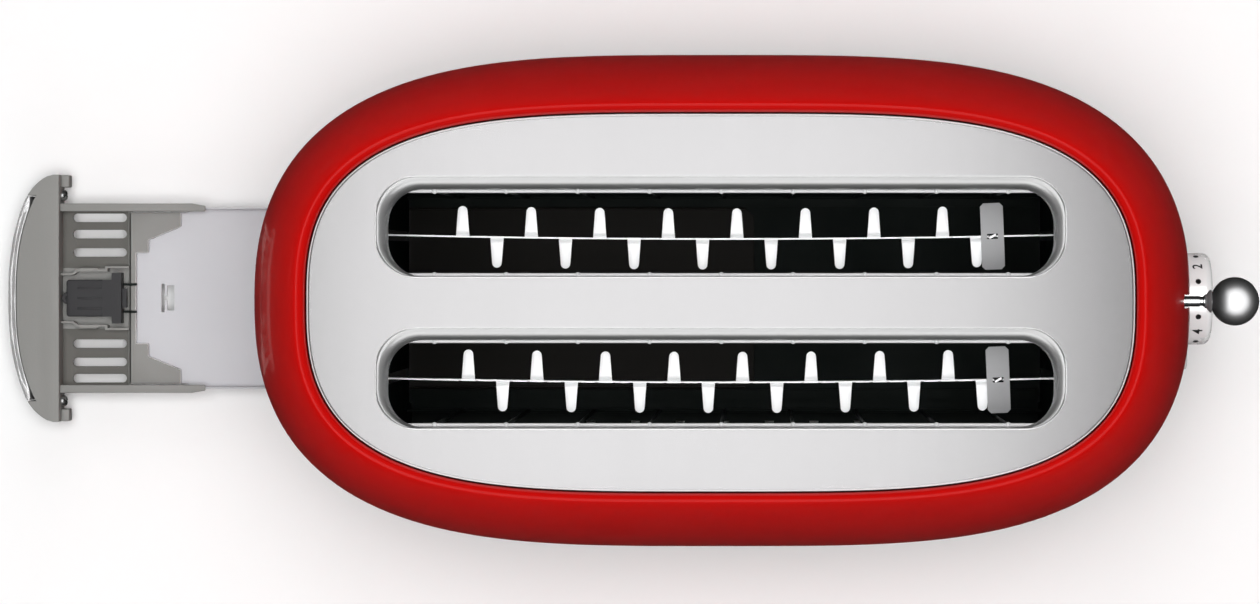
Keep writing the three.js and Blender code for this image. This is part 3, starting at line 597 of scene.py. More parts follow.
    @staticmethod
    def paint(
        made: bpy.types.Object,
        finish: Finish,
        picks: Callable[[bpy.types.MeshPolygon, Vector], bool],
    ) -> None:
        """Gives some of a piece's faces another finish.

        Args:
            made: the piece.
            finish: the other finish.
            picks: whether a face is meant, from the face and its middle in millimetres.
        """
        mesh = made.data
        mesh.materials.append(finish.material())
        for face in mesh.polygons:
            if picks(face, face.center / MM):
                face.material_index = len(mesh.materials) - 1

    @staticmethod
    def fitted(
        made: bpy.types.Object,
        finish: Finish,
        body: Body | str,
        stands_for: Sequence[str] = (),
        crease: float = 32,
        slot: str | None = None,
    ) -> bpy.types.Object:
        """Dresses a finished piece and fixes it to its body.

        Args:
            made: the piece, with a plain mesh.
            finish: its finish.
            body: the body it rides on.
            stands_for: the CAD nodes that it replaces.
            crease: edges sharper than this angle stay sharp.
            slot: the record's material slot, where it isn't the finish's own name; not used.

        Returns:
            The piece.
        """
        mesh = made.data
        mesh.materials.clear()
        mesh.materials.append(finish.material())
        mesh.shade_smooth()
        mesh.set_sharp_from_angle(angle=math.radians(crease))
        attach(made, body.value if isinstance(body, Body) else body)
        if stands_for:
            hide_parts(*stands_for)
        log.info("%s: %d faces, %s", made.name, len(mesh.polygons), finish.name)
        return made


def lengthwise(node: str) -> tuple[Vector, float, float]:
    """A CAD node's middle line along X, as its point at X = 0, and the node's two ends."""
    low, high = span(node)
    return Vector((0, (low.y + high.y) / 2, (low.z + high.z) / 2)), low.x, high.x


def rounded_box_ring(
    left: float, right: float, low: float, high: float, corner: float, z: float
) -> Ring:
    """A rounded rectangle as a ring of points with evenly divided straight sides."""
    ring: Ring = []
    corners = [(right - corner, low + corner), (right - corner, high - corner)]
    corners += [(left + corner, high - corner), (left + corner, low + corner)]
    arcs = []
    for quarter, (x, y) in enumerate(corners):
        turns = [QUARTER * (quarter - 1 + k / 12) for k in range(13)]
        arcs.append(
            [Vector((x + corner * math.cos(t), y + corner * math.sin(t), z)) for t in turns]
        )
    for quarter, arc in enumerate(arcs):
        ring += arc
        start, end = arc[-1], arcs[(quarter + 1) % 4][0]
        steps = 24 if quarter % 2 else 4
        ring += [start.lerp(end, k / steps) for k in range(1, steps)]
    return ring


# ---- Geometry node trees ------------------------------------------------------------------------


class Tree(Graph):
    """A geometry node tree with named inputs, made into a plain mesh by `grow`."""

    def __init__(self, name: str, inputs: dict[str, str]) -> None:
        """Starts a tree that also takes a material.

        Args:
            name: the tree's name.
            inputs: the kind of each named input.
        """
        super().__init__(bpy.data.node_groups.new(name, "GeometryNodeTree"))
        face = self.tree.interface
        face.new_socket("Geometry", in_out="OUTPUT", socket_type="NodeSocketGeometry")
        for key, kind in {**inputs, "Material": "Material"}.items():
            face.new_socket(key, in_out="INPUT", socket_type=f"NodeSocket{kind}")
        self.given = self.node("NodeGroupInput").outputs
        self.end = self.node("NodeGroupOutput")

    def swept(self, line: object, sides: int) -> bpy.types.Node:
        """A round bar along a curve, of the radius given as the tree's wire."""
        circle = {"Resolution": sides, "Radius": self.given["Wire"]}
        profile = self.node("GeometryNodeCurvePrimitiveCircle", circle)
        inputs = {"Fill Caps": True, "Curve": line, "Profile Curve": profile}
        return self.node("GeometryNodeCurveToMesh", inputs)

    def bar(self, start: object, end: object) -> bpy.types.Node:
        """A straight round bar between two points."""
        line = self.node("GeometryNodeCurvePrimitiveLine", {"Start": start, "End": end})
        return self.swept(line, 12)

    def joined(self, *shapes: object) -> bpy.types.Node:
        """Several shapes as one."""
        made = self.node("GeometryNodeJoinGeometry")
        for shape in shapes:
            self.fill(made, {"Geometry": shape})
        return made

    def moved(self, shape: object, place: object) -> bpy.types.Node:
        """A shape at another place."""
        return self.node("GeometryNodeTransform", {"Geometry": shape, "Translation": place})

    def finish(self, shape: object) -> None:
        """Realizes a shape's instances and gives it the material."""
        real = self.node("GeometryNodeRealizeInstances", {"Geometry": shape})
        coat = {"Geometry": real, "Material": self.given["Material"]}
        self.fill(self.end, {"Geometry": self.node("GeometryNodeSetMaterial", coat)})

    def grow(self, name: str, values: dict[str, object]) -> bpy.types.Object:
        """Runs the tree.

        Args:
            name: the new object's name.
            values: the value of each named input; lengths are in metres.

        Returns:
            A plain mesh object at the origin.
        """
        made = Shop.shown(name, bpy.data.meshes.new(name))
        step = made.modifiers.new(name, "NODES")
        step.node_group = self.tree
        for item in self.tree.interface.items_tree:
            if item.in_out == "INPUT":
                step[item.identifier] = values[item.name]
        return Shop.baked(made)


def row_tree() -> Tree:
    """A row of one shape, evenly spaced, on a line that may bow sideways."""
    kinds = {"Shape": "Object", "Count": "Int", "Start": "Vector"}
    numbers = ("Pitch", "Bow", "Half Length", "Middle", "Turn")
    tree = Tree("row", {**kinds, **{name: "Float" for name in numbers}})
    given, calc = tree.given, tree.math
    start = {"Start Location": given["Start"], "Offset": tree.vector(given["Pitch"])}
    line = tree.node("GeometryNodeMeshLine", {"Count": given["Count"], **start})
    along = tree.node("ShaderNodeSeparateXYZ", {0: tree.node("GeometryNodeInputPosition")})
    share = calc("DIVIDE", calc("SUBTRACT", along, given["Middle"]), given["Half Length"])
    hollow = calc("MAXIMUM", calc("SUBTRACT", 1.0, calc("MULTIPLY", share, share)), 0.0)
    shift = tree.vector(0.0, calc("MULTIPLY", calc("MULTIPLY", hollow, given["Bow"]), -1.0))
    points = tree.node("GeometryNodeSetPosition", {"Geometry": line, "Offset": shift})
    shape = tree.node("GeometryNodeObjectInfo", {"Object": given["Shape"]}).outputs["Geometry"]
    turn = tree.vector(0.0, 0.0, given["Turn"])
    spread = {"Points": points, "Instance": shape, "Rotation": turn}
    tree.finish(tree.joined(tree.node("GeometryNodeInstanceOnPoints", spread)))
    return tree


def guard_tree() -> Tree:
    """A wire guard: uprights on a pivot wire, each welded to a top wire with a bead."""
    numbers = ("Pivot Half", "Top Half", "Height", "Pitch")
    kinds = {"Middle": "Vector", **{name: "Float" for name in numbers}, "Count": "Int"}
    tree = Tree("wire_guard", {**kinds, "Wire": "Float"})
    given, calc = tree.given, tree.math
    height = given["Height"]
    ends = [calc("MULTIPLY", given[key], -1.0) for key in ("Pivot Half", "Top Half")]
    run = calc("MULTIPLY", given["Pitch"], calc("SUBTRACT", given["Count"], 1.0))
    start = tree.vector(calc("MULTIPLY", run, -0.5))
    pitch = {"Start Location": start, "Offset": tree.vector(given["Pitch"])}
    line = tree.node("GeometryNodeMeshLine", {"Count": given["Count"], **pitch})
    size = {"Segments": 16, "Rings": 10, "Radius": calc("MULTIPLY", given["Wire"], 1.55)}
    bead = tree.moved(tree.node("GeometryNodeMeshUVSphere", size), tree.vector(0.0, 0.0, height))
    post = tree.joined(tree.bar(tree.vector(), tree.vector(0.0, 0.0, height)), bead)
    posts = tree.node("GeometryNodeInstanceOnPoints", {"Points": line, "Instance": post})
    pivot = tree.bar(tree.vector(ends[0]), tree.vector(given["Pivot Half"]))
    top = tree.bar(tree.vector(ends[1], 0.0, height), tree.vector(given["Top Half"], 0.0, height))
    tree.finish(tree.joined(tree.moved(tree.joined(pivot, top, posts), given["Middle"])))
    return tree


def coil_tree() -> Tree:
    """A coil spring standing on a point."""
    numbers = ("Turns", "Radius", "Height", "Wire")
    tree = Tree("coil", {"Foot": "Vector", **{name: "Float" for name in numbers}})
    given = tree.given
    spiral = {
        "Resolution": 32,
        "Rotations": given["Turns"],
        "Start Radius": given["Radius"],
        "End Radius": given["Radius"],
        "Height": given["Height"],
    }
    wire = tree.swept(tree.node("GeometryNodeCurveSpiral", spiral), 10)
    tree.finish(tree.joined(tree.moved(wire, given["Foot"])))
    return tree


# ---- The casing ---------------------------------------------------------------------------------


@dataclass(frozen=True)
class CasingShape:
    """The casing's outline at any inset, and how far its wall stands in at any height."""

    middle: float
    half_length: float = 197.0
    half_width: float = 104.0
    foot: float = 22.5
    widest: float = 85.0
    crest: float = 215.0
    crest_inset: float = 24.6
    foot_inset: float = 3.0
    rim_inset: float = 28.0
    rim_shortening: float = 31.0
    end_power: float = 3.58
    side_power: float = 2.38
    bulge_power: float = 2.6

    def measures(self, inset: float) -> tuple[float, float, float, float]:
        """Half length, half width and the two powers of the outline at an inset."""
        share = inset / self.rim_inset
        powers = self.end_power + 0.2 * share, self.side_power + 0.39 * share
        return self.half_length - self.rim_shortening * share, self.half_width - inset, *powers

    def point(self, turn: float, inset: float, z: float) -> Vector:
        """The outline's point at a turn."""
        a, b, p, q = self.measures(inset)
        c, s = math.cos(turn), math.sin(turn)
        x = a * math.copysign(abs(c) ** (2 / p), c)
        y = b * math.copysign(abs(s) ** (2 / q), s)
        return Vector((self.middle + x, y, z))

    def ring(self, inset: float, z: float, steps: int = 240) -> Ring:
        """The whole outline, with its points spread evenly enough for smooth shading."""
        turns = []
        for k in range(steps):
            quarter, share = divmod(k / steps * 4, 1)
            turns.append(QUARTER * (quarter + share - 0.099 * math.sin(2 * math.pi * share)))
        return [self.point(t, inset, z) for t in turns]

    def end_x(self, y: float, inset: float, side: int = -1) -> float:
        """Where the outline's left (-1) or right (1) end lies at a y."""
        a, b, p, q = self.measures(inset)
        return self.middle + side * a * (1 - min(abs(y / b), 1) ** q) ** (1 / p)

    def inset_at(self, z: float) -> float:
        """How far the wall stands in at a height."""
        if z < self.widest:
            return self.foot_inset * ((self.widest - z) / (self.widest - self.foot)) ** 2
        up = min((z - self.widest) / (self.crest - self.widest), 1)
        return self.crest_inset * (1 - (1 - up**self.bulge_power) ** (2 / self.bulge_power))

    def level(self, x: float, y: float, inset: float) -> float:
        """0 in the middle and 1 on the outline at an inset."""
        a, b, p, q = self.measures(inset)
        across, along = abs((x - self.middle) / a), abs(y / b)
        low, high = 0.0, 1.3
        for _ in range(24):
            mid = (low + high) / 2
            inside = (across / mid) ** p + (along / mid) ** q < 1 if mid > 1e-9 else False
            low, high = (low, mid) if inside else (mid, high)
        return high


@dataclass
class Casing:
    """The enamelled casing: a bulging wall that rolls over a crest and down inside its rim."""

    shape: CasingShape
    wall: float = 1.5
    roll: float = 3.4
    rim_foot: float = 205.62
    lever_slot: Triple = (2.75, 77.8, 174.2)
    dial_hole: Pair = (3.6, 46.0)
    button_hole: float = 5.4

    def outside(self) -> list[Pair]:
        """The outer profile as (inset, z) pairs, from the foot over the crest to the lip's end."""
        s = self.shape
        run = [(s.inset_at(z), z) for z in (s.foot, 30, 40, 52, 66, 78, s.widest)]
        for k in range(1, 34):
            slant = QUARTER * k / 33
            inset = s.crest_inset * (1 - math.cos(slant) ** (4 / s.bulge_power))
            rise = math.sin(slant) ** (2 / s.bulge_power)
            run.append((inset, s.widest + (s.crest - s.widest) * rise))
        for k in range(1, 11):
            turn = QUARTER * k / 10
            level = s.crest - self.roll * (1 - math.cos(turn))
            run.append((s.crest_inset + self.roll * math.sin(turn), level))
        return run + [(s.rim_inset, 209.5), (s.rim_inset, self.rim_foot)]

    def build(self) -> bpy.types.Object:
        """The casing with its openings for the lever, the dial and the buttons."""
        s = self.shape
        run = self.outside()
        behind = s.rim_inset - self.wall
        back = [(behind, self.rim_foot), (behind, 210.8), (s.crest_inset + 0.6, s.crest - 1.7)]
        for z in (212, 205, 190, 160, 120, 85, 50):
            sunk = 1.2 * ((z - s.widest) / (s.crest - s.widest)) ** 6
            back.append((s.inset_at(z) + self.wall, z - sunk))
        back.append((s.inset_at(s.foot) + self.wall, s.foot))
        shell = Shop.skinned("casing", [s.ring(inset, z) for inset, z in run + back], is_round=True)
        half, low, high = self.lever_slot
        turns = [2 * math.pi * k / 48 for k in range(48)]
        slot = [(half * math.cos(t), half * math.sin(t)) for t in turns]
        rings = []
        for x in (200.0, 260.0):
            upper, lower = high - half, low + half
            rings.append([Vector((x, y, (upper if z > 0 else lower) + z)) for y, z in slot])
        cutters = [Shop.skinned("lever_opening", rings)]
        r, z = self.dial_hole
        hole = [(0, 200), (r, 200), (r, 260), (0, 260)]
        cutters.append(Shop.turned("dial_opening", hole, "x", Vector((0, 0, z)), 32))
        for name in Buttons.names:
            r = self.button_hole
            hole = [(0, 220), (r, 220), (r, 260), (0, 260)]
            cutters.append(Shop.turned(f"{name}_opening", hole, "x", lengthwise(name)[0], 48))
        Shop.cut(shell, *cutters)
        Shop.fitted(shell, RED, Body.HOUSING, ["body_shell"], crease=40)
        shell.visible_glossy = False
        return shell


@dataclass
class TopPanel:
    """The satin steel panel: softly crowned, with two bread slots whose edges turn down."""

    shape: CasingShape
    inset: float = 28.5
    edge: float = 212.2
    crown: float = 1.8
    sheet: float = 1.1
    rim_radius: float = 1.2
    slot_radius: float = 0.7
    flange: float = 11.0
    grid: Pair = (5.9, 5.6)
    slot_half: float = 137.4
    slot_inner: float = 10.4
    slot_outer: float = 50.1

    def height(self, x: float, y: float) -> float:
        """The panel's height at a point: flat in the middle, and falling towards its edge."""
        return self.edge + self.crown * (1 - min(self.shape.level(x, y, self.inset), 1) ** 4)

    def laid(self, ring: Sequence[Vector], drop: float = 0.0) -> Ring:
        """A ring or a net of points laid on the panel, or a drop below it."""
        return [Vector((p.x, p.y, self.height(p.x, p.y) - drop)) for p in ring]

    def slot_ring(self, side: int, grow: float, lean: float, down: float) -> Ring:
        """The slot's outline.

        Args:
            side: -1 for the front slot, 1 for the rear one.
            grow: how much wider than the slot.
            lean: how far it has leant in, from 0 at the panel to 1 at the lower end.
            down: how far down it is, from 0 to 1.

        Returns:
            The ring.
        """
        low = self.slot_inner if side > 0 else -self.slot_outer
        high = self.slot_outer if side > 0 else -self.slot_inner
        end = self.slot_half - 3.8 * lean + grow
        middle = self.shape.middle
        corner = 16 - 2 * lean + grow
        level = self.edge - self.flange * down
        return rounded_box_ring(
            middle - end, middle + end, low - grow, high - 4.6 * lean + grow, corner, level
        )

    def slot_side(self, side: int) -> list[Ring]:
        """Rings from the panel over the slot's rounded edge, down its wall and up behind it."""
        rings = []
        r = self.slot_radius
        for k in range(6):
            turn = QUARTER * k / 5
            ring = self.slot_ring(side, r - r * math.sin(turn), 0, 0)
            rings.append(self.laid(ring, r * (1 - math.cos(turn))))
        for steps, grow, start in ((range(10), -0.05, 0.09), ((9, 6, 3, 0), 0.75, 0.12)):
            for k in steps:
                turn = QUARTER * k / 9
                down = start + (1 - start) * (1 - math.cos(turn)) ** 1.3
                rings.append(self.slot_ring(side, grow, math.sin(turn), down))
        rings.append(self.laid(self.slot_ring(side, r, 0, 0), self.sheet))
        return rings

    def net(self, loops: Sequence[Ring]) -> tuple[list[Vector], list[tuple[int, ...]]]:
        """The panel's face as a flat net of triangles between its outline and the slots.

        Args:
            loops: the outline, then each slot.

        Returns:
            The net's points and its faces.
        """
        s = self.shape
        flat: list[Vector] = []
        edges = []
        for loop in loops:
            start = len(flat)
            flat += [Vector((p.x, p.y)) for p in loop]
            edges += [(start + i, start + (i + 1) % len(loop)) for i in range(len(loop))]
        for i in range(-27, 28):
            for j in range(-13, 14):
                x, y = s.middle + i * self.grid[0], j * self.grid[1]
                beside = self.slot_inner - 4 < abs(y) < self.slot_outer + 4
                if beside and abs(x - s.middle) < self.slot_half + 4:
                    continue
                if s.level(x, y, self.inset) < 0.965:
                    flat.append(Vector((x, y)))
        corners, _, triangles, *_ = delaunay_2d_cdt(flat, edges, [], 0, 1e-5)
        kept = []
        for face in triangles:
            mid = sum((corners[i] for i in face), Vector((0, 0))) / len(face)
            if not any(self.within(mid, loop) for loop in loops[1:]):
                kept.append(tuple(face))
        return corners, kept

    def build(self) -> bpy.types.Object:
        """The panel as one pressing."""
        s = self.shape
        r = self.rim_radius
        rims = [self.laid(s.ring(self.inset + r, 0))]
        for k in range(1, 7):
            turn = QUARTER * k / 6
            level = self.edge + 0.05 - self.sheet * (1 - math.cos(turn))
            rims.append(s.ring(self.inset + r * (1 - math.sin(turn)), level))
        under = self.laid(rims[0], self.sheet)
        sides = [self.slot_side(side) for side in (-1, 1)]
        corners, kept = self.net([rims[0], sides[0][0], sides[1][0]])
        points = self.laid(corners)
        count = len(points)
        points += [Vector((p.x, p.y, p.z - self.sheet)) for p in points]
        faces = kept + [tuple(count + i for i in face[::-1]) for face in kept]
        for rings in ([*rims, under], *sides):
            for pair in zip(rings, rings[1:]):
                faces += Shop.bands(pair, False, len(points))
                points += [p for ring in pair for p in ring]
        made = Shop.tidied(Shop.blank("top_panel_pressing", points, faces), 2e-5)
        Shop.fitted(made, PANEL, Body.HOUSING, ["top_panel"], crease=50)

        def on_lip(face: bpy.types.MeshPolygon, spot: Vector) -> bool:
            """Whether a face belongs to a slot's turned-down edge."""
            beside = self.slot_inner - 0.02 < abs(spot.y) < self.slot_outer + 0.02
            lowered = spot.z < self.height(spot.x, spot.y) - 0.06
            return beside and lowered and abs(spot.x - s.middle) < self.slot_half + 0.02

        Shop.paint(made, LIP, on_lip)
        # Painted highlight: the panel's rounded outer rim gets the whiter edge finish.
        Shop.paint(made, HIGHLIGHT_EDGE, lambda face, p: 0.5 < face.normal.z < 0.93 and not on_lip(face, p))
        self.smooth_crown(made.data)
        return made

    def smooth_crown(self, mesh: bpy.types.Mesh) -> None:
        """Gives the panel's face the crown's own normals, for even reflections."""
        normals: dict[int, Vector] = {}
        step = 0.5
        wanted = []
        for face in mesh.polygons:
            spots = [mesh.vertices[corner].co / MM for corner in face.vertices]
            on_top = face.normal.z > 0.9 and all(
                abs(p.z - self.height(p.x, p.y)) < 0.01 for p in spots
            )
            for corner in face.vertices:
                if on_top and corner not in normals:
                    x, y, _ = mesh.vertices[corner].co / MM
                    slope_x = (self.height(x + step, y) - self.height(x - step, y)) / (2 * step)
                    slope_y = (self.height(x, y + step) - self.height(x, y - step)) / (2 * step)
                    normals[corner] = Vector((-slope_x, -slope_y, 1)).normalized()
                wanted.append(normals[corner] if on_top else Vector((0, 0, 0)))
        mesh.normals_split_custom_set(wanted)

    @staticmethod
    def within(point: Vector, loop: Ring) -> bool:
        """Whether a point lies inside a convex loop."""
        turns = []
        for here, there in zip(loop, loop[1:] + loop[:1]):
            run, way = there - here, Vector((point.x - here.x, point.y - here.y))
            turns.append(run.x * way.y - run.y * way.x > 0)
        return all(turns) or not any(turns)


# ---- Bread chambers -----------------------------------------------------------------------------


@dataclass
class Rack:
    """One bread rack: a thin rail that bows to the front, with bent teeth on both sides."""

    name: str
    chamber: float
    shift: float
    middle: float
    row: Tree
    pitch: float = 28.9
    count: int = 8
    reach: float = 12.88
    root_half: float = 2.85
    tip: float = 2.05
    roll: float = 2.6
    bow: float = 1.6
    half_length: float = 137.4
    rail_foot: float = 106.0
    rail_top: float = 117.8
    rail_half: float = 0.32
    relief_cut: float = 3.4
    first: float = 6.0
    tooth_top: float = 118.0
    tooth_sheet: float = 1.05
    rib_height: float = 0.10
    plate_half: Pair = (4.8, 14.0)
    plate_corner: float = 1.4
    plate_foot: float = 118.35
    plate_bow: float = 0.55
    plate_sheet: float = 0.75
    plate_turn: float = 2.2
    tab_half: Pair = (1.6, 0.45)

    def line(self, x: float) -> float:
        """The rail's y at an x."""
        return self.chamber - 0.4 - self.bow * (1 - ((x - self.middle) / self.half_length) ** 2)

    def tooth(self, name: str) -> bpy.types.Object:
        """A tooth that rolls out of the rail, with a rounded end and a pressed rib along it."""
        top, tip, roll = self.tooth_top, self.tip, self.roll
        root = self.reach - tip
        stations = [0.3, 0.7, 1.2, 1.8, 2.6, 4.0, 6.0, 8.5, root]
        stations += [root + tip * math.sin(math.radians(a)) for a in (20, 38, 54, 68, 79, 86)]
        rings = []
        for y in stations:
            half = self.root_half + (tip - self.root_half) * min(y / root, 1)
            if y > root:
                half = math.sqrt(max(tip**2 - (y - self.reach + tip) ** 2, 0.0004))
            drop = roll * (1 - math.sqrt(1 - ((roll - y) / roll) ** 2)) if y < roll else 0.0
            rib_height = self.rib_height if roll < y < self.reach - 1.2 else 0.0
            upper = []
            for k in range(13):
                share = -1 + k / 6
                rib = rib_height * max(0.0, min(1.0, (0.66 - abs(share)) / 0.14))
                edge = 0.12 * max(0.0, abs(share) - 0.85) / 0.15
                upper.append(Vector((share * half, y, top - drop - 0.1 + rib - edge)))
            lower = [
                Vector((p.x * 0.97, p.y, top - drop - 0.1 - self.tooth_sheet))
                for p in reversed(upper)
            ]
            rings.append([*upper, *lower])
        made = Shop.skinned(name, rings)
        made.data.shade_smooth()
        return made

    def teeth(self, side: int) -> bpy.types.Object:
        """The row of teeth on one side of the rail."""
        first = -4 * self.pitch + self.first + self.shift + (0 if side > 0 else self.pitch / 2)
        one = self.tooth(f"{self.name}_tooth")
        row = self.row.grow(
            f"{self.name}_teeth",
            {
                "Shape": one,
                "Count": self.count,
                "Start": ((self.middle + first) * MM, (self.chamber - 0.4) * MM, 0.0),
                "Pitch": self.pitch * MM,
                "Bow": self.bow * MM,
                "Half Length": self.half_length * MM,
                "Middle": self.middle * MM,
                "Turn": 0.0 if side > 0 else math.pi,
                "Material": RACK.material(),
            },
        )
        bpy.data.objects.remove(one)
        return row

    def rail(self) -> bpy.types.Object:
        """The rail, with relief cuts beside each tooth; the tab that holds the end plate is made
        apart, by tab.
        """
        low, high = span(self.name)
        dips: list[Pair] = []
        for k in range(-4, 4):
            for ahead in (0.0, self.pitch / 2):
                x = self.middle + k * self.pitch + self.first + ahead + self.shift
                for near, far in ((-4.3, -3.0), (3.0, 4.3)):
                    cut = self.relief_cut
                    dips += [(x + near - 0.01, 0.0), (x + near, cut)]
                    dips += [(x + far, cut), (x + far + 0.01, 0.0)]
        places = [(low.x + (high.x - low.x) * k / 60, 0.0) for k in range(61)]
        cuts = list(zip(dips[::4], dips[3::4]))
        clear = [p for p in places if not any(a[0] <= p[0] <= b[0] for a, b in cuts)]
        rings = []
        for x, dip in sorted([*clear, *dips]):
            y, foot, top = self.line(x), self.rail_foot, self.rail_top - dip
            half = self.rail_half
            corners = ((-half, foot), (half, foot), (half, top), (-half, top))
            rings.append([Vector((x, y + a, z)) for a, z in corners])
        return Shop.skinned(f"{self.name}_rail", rings)

    def plate(self, stands_for: str) -> bpy.types.Object:
        """The loose end plate that rests on the rail and its twisted tab."""
        low, high = span(stands_for)
        x, y = (low.x + high.x) / 2, (low.y + high.y) / 2
        rings = []
        width, length = self.plate_half
        for along in (-14.0, -13.3, -12.6, -10, -7, -3.5, 0, 3.5, 7, 10, 12.6, 13.3, 14.0):
            half = width - max(0.0, abs(along) - (length - self.plate_corner))
            z = self.plate_foot + self.plate_bow * (1 - (along / length) ** 2)
            top = z + self.plate_sheet
            corners = ((-half, z), (half, z), (half, top), (-half, top))
            rings.append([Vector((a, along, b)) for a, b in corners])
        made = Shop.skinned(f"{stands_for}_sheet", rings)
        Shop.cut(made, Shop.block("tab_slot", (-2.3, -1.1, 110), (2.3, 1.1, 125)))
        turn = Matrix.Rotation(math.radians(self.plate_turn), 4, "Z")
        made.data.transform(Matrix.Translation(Vector((x, y, 0)) * MM) @ turn)
        return Shop.fitted(made, PLATE, Body.CARRIAGE, [stands_for], crease=25, slot="bright_wire")

    def tab(self, plate: str) -> bpy.types.Object:
        """The rail's tab, given a part turn over the plate to hold it."""
        low, high = span(plate)
        x = (low.x + high.x) / 2
        y = self.line(x)
        rings = []
        a, b = self.tab_half
        corners = [(-a, -b), (a, -b), (a, b), (-a, b)]
        for z, turn in ((116, 0), (118.6, 4), (119.3, 16), (119.9, 27), (120.3, 30)):
            spin = Matrix.Rotation(math.radians(turn), 3, "Z")
            rings.append([Vector((x, y, z)) + spin @ Vector((*c, 0)) for c in corners])
        return Shop.skinned(f"{self.name}_tab", rings)

    def build(self, plate: str) -> None:
        """The rack and its end plate."""
        whole = Shop.joined(self.rail(), self.teeth(1), self.teeth(-1), self.tab(plate))
        Shop.fitted(whole, RACK, Body.CARRIAGE, [self.name], crease=35)
        self.plate(plate)


@dataclass
class Chambers:
    """The wire guards and the racks of both chambers."""

    middle: float
    front: float = -32.6
    rear: float = 27.9
    wire: float = 0.8
    top_half: float = 131.6
    shade_depth: float = 7.0

    def build(self) -> None:
        """Builds both chambers' guards and racks."""
        row, guards = row_tree(), guard_tree()
        for slot in ("front_slot", "rear_slot"):
            for side in ("front", "rear"):
                node = f"guard_{slot}_{side}"
                low, high = span(node)
                middle = ((low.x + high.x) / 2, (low.y + high.y) / 2, low.z + self.wire)
                values = {
                    "Middle": tuple(part * MM for part in middle),
                    "Pivot Half": (high.x - low.x) / 2 * MM,
                    "Top Half": self.top_half * MM,
                    "Height": (high.z - low.z - 2 * self.wire) * MM,
                    "Pitch": Rack.pitch * MM,
                    "Count": Rack.count + 1,
                    "Wire": self.wire * MM,
                    "Material": RACK.material(),
                }
                wires = Shop.tidied(guards.grow(f"{node}_wires", values))
                Shop.fitted(wires, RACK, node, [node], crease=60)
                # Painted shade: the wires deeper in the chamber than this get the dark finish.
                shaded = high.z - self.shade_depth
                Shop.paint(wires, DARK, lambda face, spot: spot.z < shaded)
        Rack("rack_front", self.front, 2.4, self.middle, row).build("rack_plate_front")
        Rack("rack_rear", self.rear, 0.0, self.middle, row).build("rack_plate_rear")


# ---- Lever, dial and buttons --------------------------------------------------------------------


@dataclass
class Lever:
    """The lever: a polished rod through a dark collar, a chrome ball, and the spring below."""

    ball_radius: float = 10.0
    spring_wire: float = 0.58

    def build(self) -> None:
        """The rod, the collar, the ball and the return spring."""
        at, a, b = lengthwise("lever_shank")
        run = [(0, a), (1.8, a), (2.2, a + 0.5), (2.2, b - 7.6), (1.85, b - 7.2), (1.85, b - 6.4)]
        run += [(2.2, b - 6), (2.2, b), (0, b)]
        rod = Shop.turned("lever_rod", run, "x", at, 64)
        Shop.fitted(rod, CHROME, Body.CARRIAGE, ["lever_shank"])
        at, a, b = lengthwise("lever_collar")
        run = [(2.25, a + 0.7), (2.7, a + 0.7), (2.9, a + 0.9), (2.9, a + 1.5), (3.2, a + 1.7)]
        run += [(4.7, b + 0.4), (4.7, b + 0.9), (2.25, b + 0.9)]
        collar = Shop.turned("lever_grommet", run, "x", at, 64)
        Shop.fitted(
            collar, COLLAR, Body.CARRIAGE, ["lever_collar"], crease=50, slot="black_plastic"
        )
        at, _, b = lengthwise("lever_ball")
        r, neck = self.ball_radius, 0.34
        mid = b - r
        ball = [(0.0, mid - 9.2), (2.6, mid - 9.45), (3.0, mid - 9.5)]
        turns = [neck + (math.pi - neck) * k / 40 for k in range(41)]
        ball += [(r * math.sin(t), mid - r * math.cos(t)) for t in turns]
        ball[-1] = (0.0, mid + r - 0.04)
        knob = Shop.turned("lever_knob", ball, "x", at, 96)
        Shop.fitted(knob, BALL, Body.CARRIAGE, ["lever_ball"], crease=40, slot="chrome")
        knob.visible_glossy = False
        low, high = span("return_spring")
        foot = Vector(((low.x + high.x) / 2, (low.y + high.y) / 2, low.z + 0.6))
        values = {
            "Foot": tuple(foot * MM),
            "Turns": 11.0,
            "Radius": ((high.x - low.x) / 2 - 0.6) * MM,
            "Height": (high.z - low.z - 1.2) * MM,
            "Wire": self.spring_wire * MM,
            "Material": CHROME.material(),
        }
        spring = Shop.tidied(coil_tree().grow("lever_spring", values))
        Shop.fitted(spring, CHROME, Body.HOUSING, ["return_spring"], crease=60, slot="bright_wire")
        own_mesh(spring)


